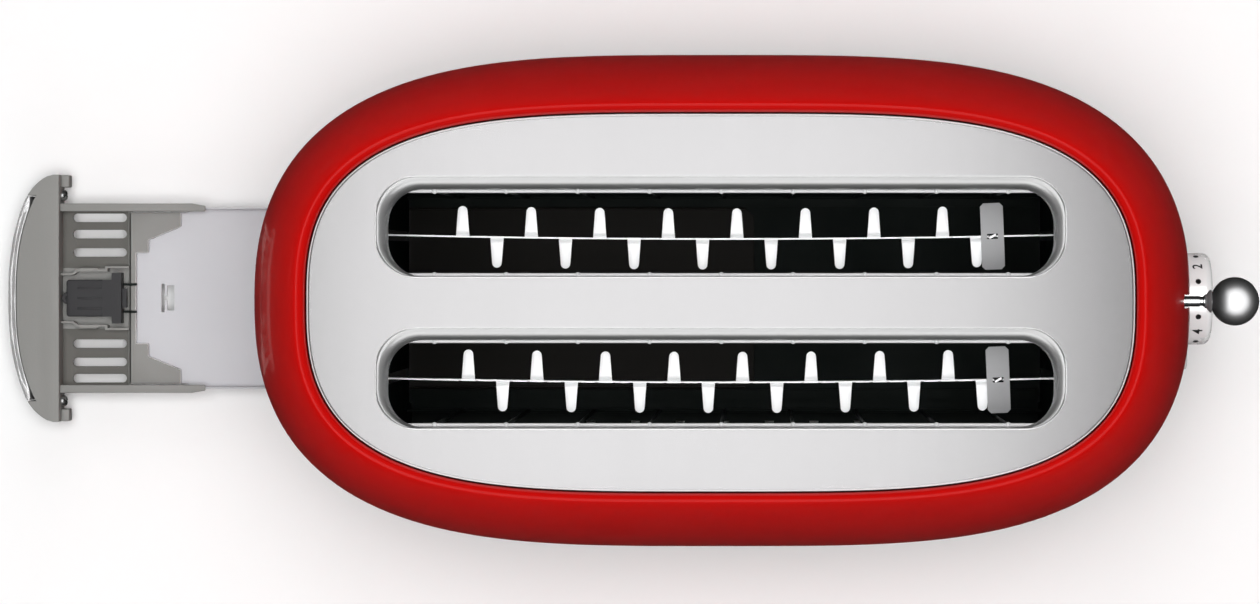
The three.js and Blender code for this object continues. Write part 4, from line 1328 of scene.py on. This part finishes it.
@dataclass
class Dial:
    """The silver browning dial, numbered round its rim."""

    radius: float = 20.0
    step: float = 45.0
    print_place: float = 8.7
    print_height: float = 0.08
    print_depth: float = 0.02
    number_size: float = 6.0
    dot_size: float = 9.0
    figure_weight: float = 0.10
    edge_radius: float = 3.2

    def knob(self) -> bpy.types.Object:
        """The knob: a rounded front edge, a dished face and a recessed back."""
        at, a, b = lengthwise("dial_knob")
        r, edge = self.radius, self.edge_radius
        run = [(3.2, a + 2.0), (r - 2.4, a + 2.0), (r - 2.2, a)]
        run += [(r - 0.4, a), (r, a + 0.4), (r, b - edge)]
        for k in range(1, 9):
            turn = QUARTER * k / 8
            run.append((r - edge + edge * math.cos(turn), b - edge + edge * math.sin(turn)))
        run += [(r - 5.2, b - 0.15), (r - 7.0, b - 1.0), (r - 9.0, b - 1.35), (0, b - 1.5)]
        body = Shop.turned("dial_body", [(0, a + 2.0), *run], "x", at, 128)
        return Shop.fitted(body, RIM, Body.DIAL, ["dial_knob"], crease=35, slot="chrome")

    def wrapped(self, flat: bpy.types.Object, turn: float) -> list[Vector]:
        """Lays a flat figure round the rim, its top towards the casing.

        Args:
            flat: the figure, as a mesh about its own middle, in metres.
            turn: how far round from the top, in degrees, positive towards the rear.

        Returns:
            The places of the figure's points, in millimetres.
        """
        low, high = span("dial_knob")
        middle = low.x + self.print_place
        height = (low.z + high.z) / 2
        placed = []
        for spot in flat.data.vertices:
            u, v = spot.co.x / MM, spot.co.y / MM
            angle = math.radians(turn) + u / self.radius
            out = self.radius + self.print_height + spot.co.z / MM
            y, z = out * math.sin(angle), height + out * math.cos(angle)
            placed.append(Vector((middle - v, y, z)))
        return placed

    def figure(self, text: str, size: float) -> bpy.types.Object:
        """A flat figure as a fine mesh about its own middle."""
        line = bpy.data.curves.new("figure", "FONT")
        line.body = text
        line.size = size * MM
        line.align_x = "CENTER"
        line.align_y = "CENTER"
        line.offset = self.figure_weight * MM
        shape = Shop.shown("figure", line)
        mesh = Shop.plain(shape)
        bpy.data.objects.remove(shape)
        return Shop.shown("figure", mesh)

    def marks(self) -> bpy.types.Object:
        """The printed numbers 1 to 6 every 45 degrees, with a dot half-way between."""
        places = []
        for number in range(1, 7):
            turn = 90 - self.step * (number - 1)
            places.append((str(number), self.number_size, turn))
            places.append(("•", self.dot_size, turn - self.step / 2))
        work = bmesh.new()
        for text, size, at in places[:-1]:
            flat = self.figure(text, size)
            mids = [v.co.copy() for v in flat.data.vertices]
            middle = (Vector(map(max, *mids)) + Vector(map(min, *mids))) / 2
            flat.data.transform(Matrix.Translation(-middle))
            corners = [work.verts.new(p * MM) for p in self.wrapped(flat, at)]
            for face in flat.data.polygons:
                work.faces.new([corners[i] for i in face.vertices])
            bpy.data.objects.remove(flat)
        bmesh.ops.solidify(work, geom=work.faces[:], thickness=-self.print_depth * MM)
        bmesh.ops.recalc_face_normals(work, faces=work.faces)
        mesh = bpy.data.meshes.new("dial_numbers")
        work.to_mesh(mesh)
        work.free()
        made = Shop.shown("dial_numbers", mesh)
        return Shop.fitted(made, PRINT, Body.DIAL, (), slot="black_plastic")

    def build(self) -> None:
        """The knob and its numbers."""
        self.knob()
        self.marks()


@dataclass
class Buttons:
    """The three push buttons under the lever's slot."""

    names: tuple[str, ...] = ("button_defrost", "button_reheat", "button_bagel")

    def build(self) -> None:
        """A softly dished cap on a stem for each button."""
        for name in self.names:
            at, a, end = lengthwise(name)
            b = end - 0.9
            run = [(0, a), (2.4, a), (2.6, a + 0.3), (2.6, b - 7), (5, b - 7), (5, b - 0.9)]
            run += [
                (4.72, b - 0.25), (4.1, b - 0.02), (3.2, b - 0.12), (1.8, b - 0.4), (0, b - 0.5)
            ]
            cap = Shop.turned(f"{name}_cap", run, "x", at, 64)
            Shop.fitted(cap, RIM, name, [name], crease=35, slot="chrome")


# ---- Crumb tray ---------------------------------------------------------------------------------


@dataclass
class CrumbTray:
    """The crumb tray, drawn out: its handle, vented deck, latch and sheet."""

    shape: CasingShape
    front_half: float = 55.0
    cover_half: float = 45.4
    deck_slots: Triple = (20.4, 28.6, 35.9)
    back: float = -247.34
    deck_end: float = -216.34
    shelf_end: float = -194.34
    rail_end: Pair = (-188.7, -182.74)

    def front(self, y: float, inset: float) -> float:
        """Where the tray's curved front lies at a y: the base's outline, drawn out to the left."""
        low, _ = span("tray_front_cover")
        past = max(0.0, abs(y) - 43) / 12
        corner = 6.5 * (1 - math.sqrt(max(1 - past * past, 0.0)))
        return self.shape.end_x(y, 3 + inset) - self.shape.end_x(0, 3) + low.x + corner

    def arc(self, low: float, high: float, inset: float, steps: int = 36) -> list[Pair]:
        """Points of the curved front between two y."""
        ys = [low + (high - low) * k / steps for k in range(steps + 1)]
        return [(self.front(y, inset), y) for y in ys]

    def frame(self) -> bpy.types.Object:
        """The grey moulding: handle, ears, rails, deck, channel and shelf."""
        back, deck_end, shelf_end = self.back, self.deck_end, self.shelf_end
        rail_end, rail_tip = self.rail_end
        half, pocket = self.front_half, self.cover_half + 0.35
        outline = [
            *self.arc(-half, -pocket, 0, 12),
            *self.arc(-pocket, pocket, 3.3),
            *self.arc(pocket, half, 0, 12),
        ]
        outline += [(back, half), (back, -half)]
        handle = Shop.prism("tray_moulding", outline, 6.3, 21.7)
        Shop.cut(handle, Shop.block("grip", (-261.9, -40, 5), (-250.3, 40, 16.7)))
        parts = [Shop.rounded(handle, 0.8, 3)]
        for sign in (-1, 1):
            ear = sorted((sign * 49.5, sign * 55))
            block = Shop.block("ear", (back - 1, ear[0], 6.3), (back + 3.4, ear[1], 14.7))
            parts.append(Shop.rounded(block, 0.6, 2))
            side = sorted((sign * 41, sign * 42.2))
            block = Shop.block("rail_wall", (back - 1, side[0], 9), (rail_end, side[1], 17.6))
            parts.append(Shop.rounded(block, 0.3, 2))
            rail = [(back - 1, 42.2), (rail_end, 42.2), (rail_tip, 41.2)]
            rail += [(rail_tip, 38.7), (back - 1, 38.7)]
            block = Shop.prism("rail", [(x, sign * y) for x, y in rail], 16.8, 18)
            parts.append(Shop.rounded(block, 0.35, 2))
            wall = [(back - 1, 10.2), (-242, 10.2), (-239.8, 11.8), (-226.6, 11.8), (-226.6, 13.3)]
            wall += [(-217, 13.3), (-217, 14.3), (-227.8, 14.3), (-227.8, 12.9), (-230.4, 12.9)]
            wall += [(-231.4, 13.5), (-238.4, 13.5), (-240.6, 12.9), (-242.4, 11.2)]
            wall.append((back - 1, 11.2))
            channel = Shop.prism("channel_wall", [(x, sign * y) for x, y in wall], 9, 16)
            parts.append(Shop.rounded(channel, 0.25, 2))
        parts.append(Shop.block("deck_middle", (back - 1, -13.8, 9), (deck_end, 13.8, 10.46)))
        for sign in (-1, 1):
            side = sorted((sign * 13.4, sign * 41.6))
            deck = Shop.block("deck", (back - 1, side[0], 9), (deck_end, side[1], 10.5))
            cutters = []
            for y in self.deck_slots:
                ring = rounded_box_ring(-242.84, -218.84, sign * y - 1.9, sign * y + 1.9, 1.85, 0)
                cutters.append(Shop.prism("vent", [(p.x, p.y) for p in ring], 8, 12))
            parts.append(Shop.rounded(Shop.cut(deck, *cutters), 0.35, 2, 60))
        riser = Shop.block("riser", (deck_end - 1.5, -41.6, 9), (deck_end, 41.6, 12.3))
        parts.append(Shop.rounded(riser, 0.4, 2))
        notch = shelf_end - 20
        shelf = [(-217.8, -38.4), (shelf_end, -38.4), (shelf_end, -32), (-208.84, -26)]
        shelf += [(-208.84, -20.3), (notch, -20.3)]
        shelf += [(x, -y) for x, y in reversed(shelf)]
        parts.append(Shop.rounded(Shop.prism("shelf", shelf, 10.8, 12.3), 0.45, 3))
        whole = Shop.joined(*parts)
        Shop.fitted(whole, GREY, Body.TRAY, ["tray_frame"], crease=38)

        def on_deck(face: bpy.types.MeshPolygon, spot: Vector) -> bool:
            """Whether a face belongs to the sunk deck or its vents, which get the painted shade."""
            return back < spot.x < -217 and 14.5 < abs(spot.y) < 41.2 and spot.z < 11

        def on_rim(face: bpy.types.MeshPolygon, spot: Vector) -> bool:
            """Whether a face belongs to the shelf's rounded edge, which gets a painted highlight.
            """
            ahead = spot.x > notch - 0.26 and abs(spot.y) < 38.3
            return ahead and spot.z > 11.6 and 0.2 < face.normal.z < 0.95

        # Painted shade: the sunk deck and its vents get the darker grey.
        Shop.paint(whole, RECESS_SHADE, on_deck)
        # Painted highlight: a white line along the shelf's rounded edge.
        Shop.paint(whole, HIGHLIGHT_EDGE, on_rim)
        return whole

    def cover(self) -> bpy.types.Object:
        """The bright strip let into the front, with a slit along its top and thin ends."""
        half = self.cover_half
        inner = []
        for x, y in self.arc(-half, half, 3, 60):
            thin = max(0.0, 1 - (half - abs(y)) / 7)
            inner.append((x - 2.2 * thin * thin, y))
        outline = self.arc(-half, half, 0.02, 60) + inner[::-1]
        made = Shop.prism("tray_bright_strip", outline, 6.9, 21.1)
        slit = self.arc(-38, 38, 1.55) + self.arc(-38, 38, 1.95)[::-1]
        strip = Shop.rounded(Shop.cut(made, Shop.prism("slit", slit, 19.6, 23)), 0.55, 3, 50)
        return Shop.fitted(strip, BRIGHT, Body.TRAY, ["tray_front_cover"], crease=30, slot="chrome")

    def sheet(self) -> bpy.types.Object:
        """The crumb sheet: a pressed floor with turned-up sides and a key-shaped hole."""
        low, high = span("tray_sheet")
        edge = high.y
        floor = [
            (-213.5, -38.2), (-192, -38.2), (-190, -edge), (high.x - 4, -edge), (high.x, -edge + 4)
        ]
        floor += [(x, -y) for x, y in reversed(floor)]
        plate = Shop.prism("crumb_sheet", [(low.x, -36), *floor, (low.x, 36)], 9.0, 9.8)
        holes = [
            ((-200.8, -5.5), (-197.64, 5.5)),
            ((-203.34, -6.3), (-202.0, 6.3)),
            ((-202.2, -1.0), (-200.6, 1.0)),
        ]
        Shop.cut(plate, *[Shop.block("key", (*a, 8), (*b, 11)) for a, b in holes])
        parts = [Shop.rounded(plate, 0.2, 2)]
        for sign in (-1, 1):
            side = sorted((sign * edge, sign * (edge - 0.8)))
            flange = Shop.block("flange", (-188, side[0], 9), (high.x - 4, side[1], 14.8))
            parts.append(Shop.rounded(flange, 0.3, 2))
        sheet = Shop.fitted(Shop.joined(*parts), SHEET, Body.TRAY, ["tray_sheet"], crease=12)
        sheet.visible_glossy = False
        return sheet

    def latch(self) -> None:
        """The dark latch block with its boss and ribs, and the two screws beside it; the cross
        plate is not made here.
        """
        low, high = span("tray_latch_body")
        base = rounded_box_ring(low.x + 2.2, high.x, low.y, high.y, 1.2, low.z)
        top = high.z
        block = Shop.prism("latch_block", [(p.x, p.y) for p in base], low.z, top - 0.2)
        boss = [(0, low.z), (2.7, low.z), (2.7, top - 1.0), (2.3, top - 0.6), (1.1, top - 0.6)]
        boss += [(1.0, top - 1.4), (0, top - 1.4)]
        parts = [Shop.rounded(block, 0.6, 3)]
        parts.append(Shop.turned("boss", boss, "z", Vector((low.x + 2.7, 0, 0)), 40))
        for y in (-4.6, 0.0, 4.6):
            rib = Shop.block("rib", (low.x + 7, y - 0.5, top - 0.5), (high.x - 1.5, y + 0.5, top))
            parts.append(Shop.rounded(rib, 0.2, 2))
        Shop.fitted(Shop.joined(*parts), BLACK, Body.TRAY, ["tray_latch_body"], crease=35)
        for side in ("front", "rear"):
            node = f"tray_screw_{side}"
            at, a, b = lengthwise(node)
            head = b - 2.6
            run = [(0, a), (1.3, a), (1.4, a + 0.4), (1.4, head), (2.6, head), (2.6, head + 0.9)]
            run += [(2.35, head + 1.7), (1.7, b - 0.25), (0.9, b), (0.7, b - 1.2), (0, b - 1.3)]
            screw = Shop.turned(f"{node}_pan", run, "x", at, 48)
            Shop.fitted(screw, CHROME, Body.TRAY, [node], crease=35)

    def build(self) -> None:
        """The whole tray."""
        self.frame()
        self.cover()
        self.sheet()
        self.latch()


# ---- The base and what keeps its CAD shape -------------------------------------------------------


@dataclass
class Feet:
    """Four rubber feet with a rounded tread."""

    names: tuple[str, ...] = (
        "foot_front_left", "foot_front_right", "foot_rear_left", "foot_rear_right"
    )

    def build(self) -> None:
        """Each foot: a chamfered disc with a ring pressed in its tread."""
        for name in self.names:
            low, high = span(name)
            at = Vector(((low.x + high.x) / 2, (low.y + high.y) / 2, 0))
            r = (high.x - low.x) / 2
            foot, top = low.z, high.z
            run = [
                (0, foot),
                (r - 4.2, foot),
                (r - 4, foot + 0.5),
                (r - 3, foot + 0.5),
                (r - 2.8, foot),
            ]
            run += [(r - 1.4, foot), (r - 0.6, foot + 0.25), (r - 0.15, foot + 0.9), (r, top - 1)]
            run += [(r - 0.2, top), (0, top)]
            pad = Shop.turned(f"{name}_pad", run, "z", at, 64)
            Shop.fitted(pad, RUBBER, Body.HOUSING, [name], crease=35)


@dataclass
class Carried:
    """The CAD nodes that are shown as they are, each in its own finish."""

    finishes: dict[str, Finish] = field(
        default_factory=lambda: {
            "base_ring": GREY,
            "base_plate": DARK,
            "cord_gland": BLACK,
            "chassis": DARK,
            # Painted shade: a near-black lining for the shade in the chambers.
            "reflector": LINING_SHADE,
            "card": MICA,
            "winding": RIBBON,
            "guide_rod": CHROME,
            "carriage": DARK,
            "magnet_keeper": DARK,
            "magnet_core": DARK,
            "magnet_coil": COIL,
            "control_board": BOARD,
            "potentiometer": BLACK,
            "dial_shaft": GREY,
            "tray_guide": DARK,
            "tray_latch": BLACK,
            "tray_latch_spring": DARK,
        }
    )

    def dress(self) -> None:
        """Gives every CAD node that is still shown the finish of the longest name that fits it."""
        for name, node in frame["nodes"].items():
            if node.hide_render:
                continue
            fits = [key for key in self.finishes if name.startswith(key)]
            finish = self.finishes[max(fits, key=len)]
            node.data.materials.clear()
            node.data.materials.append(finish.material())
            for face in node.data.polygons:
                face.material_index = 0
            log.info("%s keeps its CAD shape, %s", name, finish.name)


# ---- Studio -------------------------------------------------------------------------------------


@dataclass
class Studio:
    """A plain pale floor, a broad soft light overhead, and a camera that looks straight down."""

    eye: Vector = field(default_factory=lambda: Vector((62.3, 17.0, 1865.0)))
    lens: float = 118.4
    shift: Pair = (-0.0992, -0.0333)
    sky: Pair = (0.02, 0.09)
    backdrop: float = 0.92

    def floor(self) -> None:
        """The floor, faintly uneven in gloss."""
        size = 6000
        corners = [
            Vector((x, y, 0))
            for x, y in ((-size, -size), (size, -size), (size, size), (-size, size))
        ]
        made = Shop.blank("floor", corners, [(0, 1, 2, 3)])
        made.data.materials.append(FLOOR.material())
        made.visible_glossy = False

    def world(self) -> None:
        """A sky that is brightest overhead, and pale behind the object."""
        sky = bpy.data.worlds.new("studio")
        bpy.context.scene.world = sky
        sky.use_nodes = True
        graph = Graph(sky.node_tree)
        way = graph.node("ShaderNodeTexCoord").outputs["Generated"]
        up = graph.node("ShaderNodeSeparateXYZ", {0: way}).outputs["Z"]
        low, high = self.sky
        ramp = graph.node("ShaderNodeMapRange", {"Value": up, "To Min": low, "To Max": high})
        seen = graph.node("ShaderNodeLightPath").outputs["Is Camera Ray"]
        shown = graph.node("ShaderNodeMix", {"Factor": seen, "A": ramp, "B": self.backdrop})
        sheet = {"Strength": shown.outputs["Result"], "Color": (1.0, 1.0, 1.0, 1.0)}
        graph.fill(sky.node_tree.nodes["Background"], sheet)

    def light(
        self,
        name: str,
        at: Triple,
        size: Pair,
        watts: float,
        is_reflected: bool,
        only: Sequence[str] = (),
    ) -> None:
        """A soft light: beside the object it is aimed at it, and above it shines straight down.

        Args:
            name: the light's name.
            at: its place in metres.
            size: its sides in metres.
            watts: its power.
            is_reflected: whether glossy surfaces show it.
            only: the pieces it lights, where it doesn't light everything.
        """
        lamp = bpy.data.lights.new(name, "AREA")
        lamp.shape = "ELLIPSE" if only else "RECTANGLE"
        lamp.size, lamp.size_y = size
        lamp.energy = watts
        made = Shop.shown(name, lamp)
        made.location = at
        if abs(at[0]) + abs(at[1]) > 1:
            made.rotation_euler = (
                Vector((0, 0, 0.1)) - Vector(at)
            ).to_track_quat("-Z", "Y").to_euler()
        made.visible_glossy = is_reflected
        if only:
            chosen = bpy.data.collections.new(f"{name}_receivers")
            for piece in only:
                chosen.objects.link(bpy.data.objects[piece])
            made.light_linking.receiver_collection = chosen

    def camera(self) -> None:
        """The camera."""
        lens = bpy.data.cameras.new("camera")
        lens.lens = self.lens
        lens.sensor_width = 36.0
        lens.shift_x, lens.shift_y = self.shift
        lens.clip_start, lens.clip_end = 0.05, 50
        made = Shop.shown("camera", lens)
        made.location = self.eye * MM
        bpy.context.scene.camera = made

    def build(self) -> None:
        """Sets the whole studio up."""
        self.floor()
        self.world()
        self.light("overhead_fill", (0.05, 0.0, 2.6), (1.5, 1.5), 60, is_reflected=False)
        sides = {
            "rear": (0.0, 2.3, 15),
            "front": (0.0, -2.3, 10),
            "left": (-2.3, 0.0, 7),
            "right": (2.3, 0.0, 7),
        }
        for name, (x, y, watts) in sides.items():
            self.light(f"{name}_fill", (x, y, 1.1), (1.6, 1.6), watts, is_reflected=False)
        self.light("overhead_strip", (-0.08, 0.0, 2.5), (1.1, 2.6), 7.4, is_reflected=True)
        self.light(
            "broad_reflector",
            (0.25, 0.0, 1.9),
            (2.2, 2.2),
            28,
            is_reflected=True,
            only=("lever_rod", "dial_body"),
        )
        self.light(
            "ball_reflector",
            (0.30, 0.0, 1.3),
            (4.6, 4.6),
            60,
            is_reflected=True,
            only=("lever_knob",),
        )
        for name, y in (("front", -1.9), ("rear", 2.1)):
            self.light(
                f"{name}_reflector",
                (0.0, y, 1.4),
                (3.4, 2.0),
                14,
                is_reflected=True,
                only=("top_panel_pressing",),
            )
        racks = [made.name for made in bpy.data.objects if made.name.startswith("rack_")]
        wires = [name for name in racks if "plate" not in name]
        self.light("rack_fill", (0.05, 0.0, 2.4), (0.8, 0.8), 19, is_reflected=False, only=wires)
        self.camera()
        bpy.context.scene.view_settings.view_transform = "Standard"


def main() -> None:
    """Builds the toaster from the casing inwards, then the studio."""
    logging.basicConfig(level=logging.INFO, format="%(message)s")
    low, high = span("body_shell")
    shape = CasingShape(middle=(low.x + high.x) / 2)
    Casing(shape).build()
    TopPanel(shape).build()
    Chambers(shape.middle).build()
    Lever().build()
    Dial().build()
    Buttons().build()
    CrumbTray(shape).build()
    Feet().build()
    Carried().dress()
    Studio().build()


if __name__ == "__main__":
    main()
